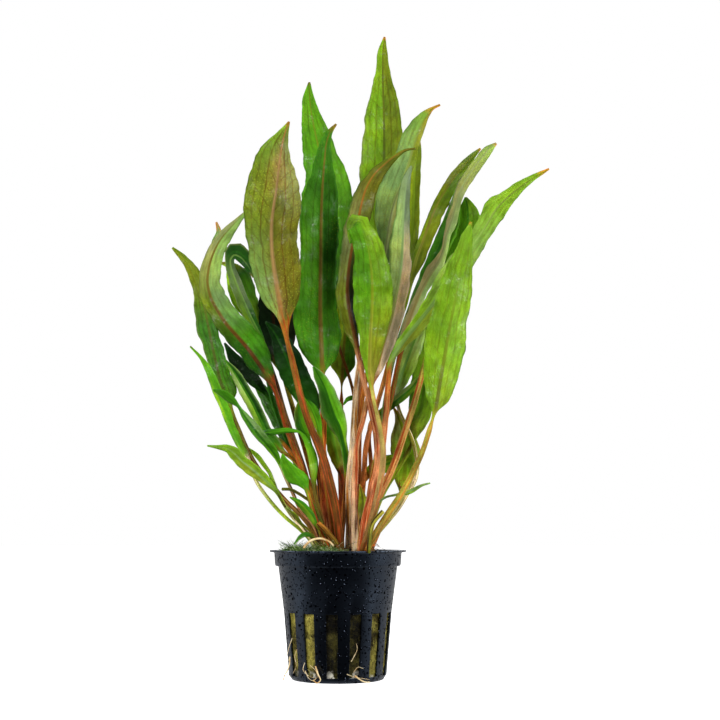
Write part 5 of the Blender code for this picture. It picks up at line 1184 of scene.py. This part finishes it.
def woolFelt(name, pale, dark, strength):
    # mineral wool stained by peat and algae: straw yellow, nearly black round the middle in painted shade,
    # white at its foot.
    # Clouds 9 mm wide, crumbs 2 mm wide, and fluff of 0.8 mm, coarser than real fibres so that it shows
    s = woolSettings
    made, add = newMaterial(name)
    place = add("TexCoord", output=3)
    sideways, height = (add("SeparateXYZ", (place,), output=k) for k in (0, 2))
    cloud = add("TexNoise", {"Vector": place, "Scale": 110.0, "Detail": 4.0, "Roughness": 0.62})
    fluff = add("TexNoise", {"Vector": place, "Scale": 1300.0, "Detail": 4.0, "Roughness": 0.7})
    mask = add("Math", (fluff, 0.7, cloud), operation="MULTIPLY_ADD")
    mask = add("MapRange", (mask, 0.76, 1.0, 0.0, 1.0))
    colour = add("Mix", {0: mask, 6: rgba(dark), 7: rgba(pale)}, **mixed)
    # painted shade: a dark band down the plug's middle, made patchy by the clouds
    centre, near, far = (part * mm for part in s["peat"])
    peat = add("Math", (sideways, centre), operation="SUBTRACT")
    peat = add("Math", (peat,), operation="ABSOLUTE")
    peat = add("MapRange", (peat, near, far, s["peatShade"], 1.0))
    patchy = add("MapRange", (cloud, 0.4, 0.62, 0.55, 1.35))
    peat = add("Math", (peat, patchy), operation="MULTIPLY")
    colour = add("Mix", {0: 1.0, 6: colour, 7: peat}, **multiplied)
    near, far = (part * mm for part in s["whiteFoot"])
    foot = add("MapRange", (height, near, far, 1.0, 0.0))
    crumb = add("TexNoise", {"Vector": place, "Scale": 480.0, "Detail": 2.0})
    crumb = add("MapRange", (crumb, 0.52, 0.58, 0.0, 0.85))
    foot = add("Math", (foot, crumb), operation="MULTIPLY")
    colour = add("Mix", {0: foot, 6: colour, 7: rgba("#d8d4c4")}, **mixed)
    bump = add("Bump", {"Height": fluff, "Strength": strength, "Distance": 0.0005})
    return setShader(made, {"Base Color": colour, "Roughness": 0.9, "Normal": bump,
                            "Specular IOR Level": 0.2})


def turnedSkin(levels, radii, sides, centre, lumps, wavelength, seed):
    # a profile turned about an upright axis, each point moved along its radius by an uneven field
    ring = np.pad(direction(evenAngles(sides)), ((0, 0), (0, 1)))
    points = ring * radii[:, None, None] + np.array((*centre, 0.0))
    points[..., 2] = levels[:, None]
    field = ripple(points, wavelength, seed) + 0.5 * ripple(points, wavelength / 3, seed + 1)
    return points + ring * (lumps * field)[:, :, None], field


def addWool():
    s = woolSettings
    straight = s["top"] - s["shoulder"]
    levels = np.linspace(s["low"], straight, s["levels"])
    radii = wallRadius(levels) - s["inset"]
    rise = np.linspace(0, 1, 12)[1:]
    levels = np.concatenate((levels, straight + s["shoulder"] * np.sin(rise * np.pi / 2)))
    radii = np.concatenate((radii, radii[-1] * (1 - 0.97 * rise**1.6)))
    points, field = turnedSkin(levels, radii, s["sides"], (0, 0), s["lumps"], 5.0, 31)
    outer = wallRadius(points[..., 2])[..., None] - s["clear"]
    flat = np.linalg.norm(points[..., :2], axis=-1, keepdims=True)
    points[..., :2] *= np.minimum(flat, outer) / np.maximum(flat, 1e-6)
    poles = np.array(((0, 0, s["low"]), (0, 0, points[-1, :, 2].mean())))
    plug = closedTube("woolPlug", points, poles)
    plug.data.materials.append(woolFelt("mineralWool", "#9a9040", "#120c04", 1.0))
    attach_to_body(plug, "root")
    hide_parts("wool_plug")
    # fibres lie round the plug in every direction, a little clear of it, and some stray into the slots
    dice = np.random.default_rng(41)
    count, steps = s["fibres"], 7
    angle = dice.uniform(0, 2 * np.pi, count)
    level = dice.uniform(s["low"] + 1.0, s["fibreTop"], count)
    lean = dice.normal(0, 1.0, count)
    length = dice.uniform(*s["fibreLength"], count)[:, None]
    along = np.linspace(-0.5, 0.5, steps)
    curl = dice.normal(0, 0.9, count)
    z = level[:, None] + length * (along * np.cos(lean)[:, None] + curl[:, None] * (along**2 - 0.1))
    z = np.clip(z, 0.6, s["top"] - 0.6)
    around = length * along * np.sin(lean)[:, None] / potSettings["baseRadius"] + angle[:, None]
    around += 0.02 * np.sin(9 * along + angle[:, None] * 7)
    lift = dice.uniform(-0.1, 0.75, count)[:, None] + dice.normal(0, 0.12, (count, steps))
    radius = np.minimum(wallRadius(z) - s["inset"] + lift, wallRadius(z) - 0.35)
    paths = np.dstack((radius * np.cos(around), radius * np.sin(around), z))
    thick = s["fibreRadius"] * dice.uniform(0.6, 1.5, count)[:, None] * (1 - 0.5 * np.abs(2 * along) ** 2)
    mat = strands("woolFibres", paths, thick)
    mat.data.materials.append(woolFelt("strayWool", "#bcb258", "#54481c", 0.3))
    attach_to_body(mat, "root")
    print("wool:", len(plug.data.polygons), "and", len(mat.data.polygons), "faces")


# Crown: a rough brown rootstock with the torn sheaths of old leaves
crownSettings = {
    "centre": (1.5, -0.5),
    "radius": 17.8,
    "low": 43.9,
    "top": 47.2,
    "swell": 0.9,
    "rounding": 0.8,  # how far below its top the edge rounds over
    "sides": 140,
    "levels": 16,
    "sheaths": 150,
    "sheathReach": 0.72,  # how far out they stand, as a share of the crown's radius
    "sheathHeight": (0.8, 2.6),
    "sunk": 0.4,  # how far below the top the sheaths and the bases start
    "bases": [  # x, y, height and thickness of old leaf bases
        (-1.9, 2.6, 14.0, 1.05), (-3.4, 3.4, 25.0, 1.1), (-0.4, 3.8, 17.0, 0.9), (-5.6, 4.6, 20.0, 1.0),
        (-7.6, 1.2, 11.0, 0.8), (8.4, 4.4, 13.0, 0.9),
    ],
}


def barkMaterial(name, pale, dark):
    # rootstock: matte, fibrous brown, with paler torn ends; the fibres are 0.9 mm wide and 6 mm long
    made, add = newMaterial(name)
    place = add("TexCoord", output=3)
    stretched = add("Mapping", {"Vector": place, "Scale": (1100.0, 1100.0, 160.0)})
    grain = add("TexNoise", {"Vector": stretched, "Scale": 1.0, "Detail": 4.0, "Roughness": 0.65})
    mask = add("MapRange", (grain, 0.35, 0.68, 0.0, 1.0))
    colour = add("Mix", {0: mask, 6: rgba(dark), 7: rgba(pale)}, **mixed)
    bump = add("Bump", {"Height": grain, "Strength": 0.9, "Distance": 0.0004})
    return setShader(made, {"Base Color": colour, "Roughness": 0.75, "Normal": bump,
                            "Specular IOR Level": 0.3})


def addCrown():
    s = crownSettings
    edge, rise = s["top"] - s["rounding"], np.linspace(0, 1, s["levels"])
    levels = np.concatenate((s["low"] + (edge - s["low"]) * rise,
                             edge + (s["rounding"] + s["swell"]) * np.sin(rise[1:] * np.pi / 2)))
    radii = np.concatenate((s["radius"] - 1.2 + 1.2 * np.sin(rise * np.pi / 2),
                            s["radius"] * (1 - 0.96 * rise[1:] ** 1.3)))
    points, field = turnedSkin(levels, radii, s["sides"], s["centre"], 0.5, 4.0, 53)
    points[s["levels"]:, :, 2] += 0.35 * field[s["levels"]:]
    body = closedTube("crownStock", points)
    body.data.materials.append(barkMaterial("rootstockBark", "#4c3818", "#1a1008"))
    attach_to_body(body, "root")
    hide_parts("crown")
    # torn sheaths stand up between the stalks, wide and thin, and narrow to a ragged tip
    dice = np.random.default_rng(59)
    count, start = s["sheaths"], s["top"] - s["sunk"]
    way = direction(dice.uniform(0, 2 * np.pi, count))
    out = s["radius"] * s["sheathReach"] * np.sqrt(dice.uniform(0.02, 1.0, count))
    foot = np.column_stack((np.array(s["centre"]) + out[:, None] * way, np.full(count, start)))
    height = dice.uniform(*s["sheathHeight"], count)
    rise = np.linspace(0, 1, 6)
    lean = np.column_stack((dice.normal(0, 0.22, (count, 2)) + 0.18 * way, np.ones(count)))
    paths = foot[:, None] + rise[None, :, None] * lean[:, None] * height[:, None, None]
    paths[..., :2] += (rise**2)[None, :, None] * dice.normal(0, 0.5, (count, 1, 2))
    thick = dice.uniform(0.22, 0.55, count)[:, None] * (1 - 0.75 * rise**1.5)
    sheaths = strands("crownSheaths", paths, thick, sides=5)
    sheaths.data.materials.append(barkMaterial("driedSheath", "#7c5c2c", "#36220e"))
    x, y, height, thick = np.array(s["bases"]).T[:, :, None]
    rise = np.linspace(0, 1, 24)
    paths = np.dstack((x * (1 + 0.10 * rise), y * (1 + 0.10 * rise), start + height * rise))
    thick = thick * (1 - 0.75 * rise**2) * (1 + 0.12 * ripple(paths, 2.4, 57))
    old = strands("oldLeafBases", paths, thick, sides=12)
    old.data.materials.append(barkMaterial("driedLeafBase", "#8a5430", "#3c2010"))
    for item in (sheaths, old):
        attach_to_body(item, "root")
    print("crown:", len(body.data.polygons), "and", len(sheaths.data.polygons), "faces")


# Moss: a low cushion between the crown and the wall, and threads over it
mossSettings = {
    "outer": 22.6,
    "fromDeg": 110.0,
    "toDeg": 275.0,
    "low": 43.9,
    "least": 0.8,  # height of the cushion at its ends
    "bedTop": 46.9,
    "bedSpans": 110,
    "bedSides": 20,
    "threads": 4200,
    "threadLength": (1.2, 6.4),
    "threadRadius": 0.085,
    "threadsFromDeg": 135.0,
    "threadReach": 23.0,  # no thread leans farther out than this
    "colours": ("#264c0e", "#36661a", "#16300a", "#4c7020", "#1c3a0c", "#789448", "#b8c090"),
}


def mossMaterial():
    # moss and fine roots: matte, green to brown; each thread keeps one colour, shaded every 0.7 mm
    made, add = newMaterial("mossThread")
    tint = add("Attribute", attribute_name="tint")
    place = add("TexCoord", output=3)
    fine = add("TexNoise", {"Vector": place, "Scale": 1500.0, "Detail": 3.0})
    shade = add("MapRange", (fine, 0.3, 0.7, 0.6, 1.4))
    colour = add("Mix", {0: 1.0, 6: tint, 7: shade}, **multiplied)
    bump = add("Bump", {"Height": fine, "Strength": 0.8, "Distance": 0.0003})
    return setShader(made, {"Base Color": colour, "Roughness": 0.8, "Normal": bump,
                            "Specular IOR Level": 0.25})


def mossRing(share, past):
    # at each share of the cushion's arc: the way outwards, and a point that far past the crown's edge
    s, crown = mossSettings, crownSettings
    way = direction(np.radians(s["fromDeg"] + (s["toDeg"] - s["fromDeg"]) * share))
    return way, np.array(crown["centre"]) + way * (crown["radius"] + past)


def mossHeight(share):
    # highest on the left, lower towards both ends
    s = mossSettings
    foot = s["low"] + s["least"]
    return foot + (s["bedTop"] - foot) * np.sin(np.pi * np.clip(0.06 + 0.9 * share, 0, 1)) ** 0.3


def addMoss():
    s = mossSettings
    spans, sides = s["bedSpans"], s["bedSides"]
    share = np.linspace(0, 1, spans)
    way, inner = mossRing(share, 0.2)
    outer = way * s["outer"]
    cosine, sine = direction(evenAngles(sides)).T
    reach = 0.5 * np.linalg.norm(outer - inner, axis=1)[:, None] * np.sign(cosine) * np.abs(cosine) ** 0.7
    height = 0.5 * (mossHeight(share) - s["low"])
    points = np.empty((spans, sides, 3))
    points[..., :2] = 0.5 * (inner + outer)[:, None] + way[:, None] * reach[:, :, None]
    points[..., 2] = s["low"] + height[:, None] * (1 + np.sign(sine) * np.abs(sine) ** 0.7)
    points[..., 2] += 0.7 * ripple(points, 2.2, 61) * np.clip(sine, 0, 1)
    bed = closedTube("mossBed", points)
    attach(bed, "tint", np.tile(rgba("#26380e"), (len(bed.data.vertices), 1)))
    moss = mossMaterial()
    bed.data.materials.append(moss)
    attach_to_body(bed, "root")
    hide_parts("moss_cushion")
    # threads stand in clumps, most of them short, and shorter still at the far left
    dice = np.random.default_rng(67)
    count, steps, sides = s["threads"], 5, 3
    start = (s["threadsFromDeg"] - s["fromDeg"]) / (s["toDeg"] - s["fromDeg"])
    share = dice.uniform(start, 1, count)
    way, inner = mossRing(share, -0.6)
    foot = inner + (way * (s["outer"] - 0.8) - inner) * dice.uniform(0, 1, count)[:, None]
    level = mossHeight(share) - 0.6
    least, most = s["threadLength"]
    clumps = 0.75 + 0.5 * ripple(np.column_stack((foot, level)), 3.0, 68)
    length = (least + (most - least) * dice.uniform(0, 1, count) ** 2.2) * np.clip(clumps, 0.3, 1.3)
    length *= np.clip(0.25 + (foot[:, 0] + 22.0) / 5.0, 0.25, 1.0)
    rise = np.linspace(0, 1, steps)
    lean, bend = (dice.normal(0, 0.9, (count, 1, 2)) for k in range(2))
    sway = rise[None, :, None] * lean + (rise**2)[None, :, None] * bend
    paths = np.empty((count, steps, 3))
    paths[..., :2] = foot[:, None] + 0.5 * length[:, None, None] * sway
    paths[..., 2] = level[:, None] + length[:, None] * rise * (1 - 0.25 * rise)
    span = np.linalg.norm(paths[..., :2], axis=-1, keepdims=True)
    paths[..., :2] *= np.minimum(span, s["threadReach"]) / span
    thick = s["threadRadius"] * dice.uniform(0.6, 1.6, count)[:, None] * (1 - 0.7 * rise)
    threads = strands("mossThreads", paths, thick, sides)
    choice = np.array([rgba(colour) for colour in s["colours"]])[dice.integers(0, len(s["colours"]), count)]
    attach(threads, "tint", np.repeat(choice, steps * sides, axis=0))
    threads.data.materials.append(moss)
    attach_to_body(threads, "root")
    print("moss:", len(bed.data.polygons), "and", len(threads.data.polygons), "faces")


# Roots: the four that the solids have, then the finest ones as finish
rootTable = {
    "root_arched": (0.5, [(-12.2, -19.5, 49.0), (-10.8, -19.5, 50.8), (-8.4, -19.5, 52.2),
                          (-6.4, -19.5, 52.5), (-4.2, -19.5, 52.0), (-2.4, -19.5, 51.0),
                          (-1.2, -19.4, 49.7)]),
    "rootlet_left": (0.28, [(-17.6, -10.2, 9), (-17.6, -11.4, 6.4), (-18.2, -11.2, 4.6),
                            (-19.4, -10.8, 2.4), (-19.9, -10.6, 0.6)]),
    "rootlet_front": (0.28, [(-7.8, -17.9, 6.4), (-6.8, -18.9, 3.6), (-6.0, -18.9, 1.4),
                             (-7.2, -18.9, 0.5), (-8.6, -18.6, 1.6)]),
    "rootlet_right": (0.28, [(6.6, -17.4, 3), (8.2, -17.6, 1.7), (9.8, -17.2, 0.8), (12, -16.4, 0.5)]),
}
fineRoots = {  # radius and points of the finest roots, in the slots and at the rim
    "pale": [
        (0.14, [(-14.8, -13.6, 12.0), (-15.6, -13.0, 9.2), (-15.0, -13.4, 6.4), (-16.2, -12.0, 3.2)]),
        (0.12, [(-11.6, -15.6, 4.6), (-10.6, -16.4, 2.4), (-9.0, -17.3, 1.2), (-7.6, -17.9, 2.0)]),
        (0.13, [(5.2, -17.9, 8.0), (6.4, -17.6, 10.2), (7.4, -17.4, 12.6), (7.0, -17.8, 14.6)]),
        (0.11, [(6.0, -17.6, 4.2), (7.8, -17.0, 6.0), (9.6, -16.2, 5.4)]),
        (0.13, [(-16.6, -12.4, 16.0), (-17.8, -12.2, 12.6), (-18.6, -12.0, 9.6), (-20.0, -10.6, 6.8)]),
        (0.11, [(-17.4, -12.2, 9.0), (-18.8, -11.6, 6.2), (-18.2, -11.8, 3.8), (-17.2, -11.8, 1.6)]),
        (0.12, [(-11.8, -15.4, 7.4), (-12.4, -15.4, 4.8), (-10.6, -16.4, 3.0), (-8.4, -17.6, 2.2)]),
        (0.11, [(-9.8, -16.6, 6.6), (-7.8, -17.6, 4.8), (-7.2, -17.9, 2.6), (-8.6, -17.5, 0.9)]),
        (0.11, [(3.6, -18.2, 3.6), (6.2, -18.0, 2.6), (9.2, -17.2, 2.0), (12.0, -15.6, 1.4)]),
    ],
    "dark": [
        (0.22, [(9.6, -19.4, 50.6), (11.2, -19.6, 51.7), (13.0, -19.4, 51.0), (14.2, -19.2, 50.6),
                (15.6, -19.0, 49.6)]),
        (0.16, [(10.4, -19.6, 49.2), (12.2, -20.0, 49.9), (14.0, -20.2, 49.0), (15.2, -20.2, 48.6)]),
        (0.14, [(12.6, -18.2, 48.6), (14.4, -17.8, 49.8), (15.8, -17.2, 49.2), (17.6, -16.4, 48.5)]),
        (0.14, [(-0.6, -20.6, 50.2), (0.4, -20.6, 50.0), (1.4, -20.6, 48.8)]),
    ],
}
rootSteps = {"thick": 60, "fine": 24}


def rootSkin(name, pale, dark):
    # living root: smooth, slightly glossy, cream with browner bands about 2.4 mm apart
    made, add = newMaterial(name)
    place = add("TexCoord", output=3)
    band = add("TexNoise", {"Vector": place, "Scale": 420.0, "Detail": 3.0})
    mask = add("MapRange", (band, 0.4, 0.66, 0.0, 1.0))
    colour = add("Mix", {0: mask, 6: rgba(pale), 7: rgba(dark)}, **mixed)
    bump = add("Bump", {"Height": band, "Strength": 0.4, "Distance": 0.0002})
    return setShader(made, {"Base Color": colour, "Roughness": 0.42, "Normal": bump, "Subsurface Weight": 0.1,
                            "Subsurface Radius": (1.0, 0.7, 0.4), "Subsurface Scale": 0.001})


def rootPath(points, count):
    # the chain of points rounded by the leaves' own curve, read evenly from point to point
    rows = [(x, z, y) for x, y, z in points]
    return smoothRows(rows, count)[:, (0, 2, 1)]


def addRoots():
    cream = rootSkin("livingRoot", "#e8d3a4", "#b98f52")
    dried = rootSkin("driedRoot", "#6a4420", "#3a2210")
    count = rootSteps["thick"]
    for node, (radius, points) in rootTable.items():
        path = rootPath(points, count)
        thick = radius * (1 - 0.35 * np.linspace(0, 1, count)) * (1 + 0.07 * ripple(path, 1.6, 71))
        item = strands(pieceName(node), path[None], thick[None], sides=14)
        item.data.materials.append(cream)
        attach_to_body(item, "root")
        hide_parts(node)
    count = rootSteps["fine"]
    for tone, skin in (("pale", cream), ("dark", dried)):
        radii, paths = zip(*fineRoots[tone])
        paths = np.stack([rootPath(points, count) for points in paths])
        thick = np.array(radii)[:, None] * np.linspace(1, 0.5, count)
        item = strands("fineRoots" + tone.capitalize(), paths, thick, sides=7)
        item.data.materials.append(skin)
        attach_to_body(item, "root")
    print("roots:", len(rootTable), "and", sum(len(group) for group in fineRoots.values()), "fine ones")


def addFloor():
    s = lightSettings
    corners = s["floorCorners"]
    rim = s["floorRadius"] * direction(evenAngles(corners))
    rim = np.column_stack((rim, np.full(corners, -s["floorDrop"])))
    mesh = bpy.data.meshes.new("paleFloor")
    mesh.from_pydata((rim * mm).tolist(), [], [list(range(corners))])
    item = newObject("paleFloor", mesh)
    made = newMaterial("paintedFloor")[0]
    item.data.materials.append(setShader(made, {
        "Base Color": (0.93, 0.93, 0.93, 1.0), "Roughness": 0.9, "Specular IOR Level": 0.1,
        "Emission Color": (1, 1, 1, 1), "Emission Strength": s["floorGlow"]}))
    item.visible_diffuse = False
    item.visible_glossy = False


addCamera()
addLights()
addFloor()
addPot()
addWool()
addCrown()
addMoss()
addRoots()
addLeaves()
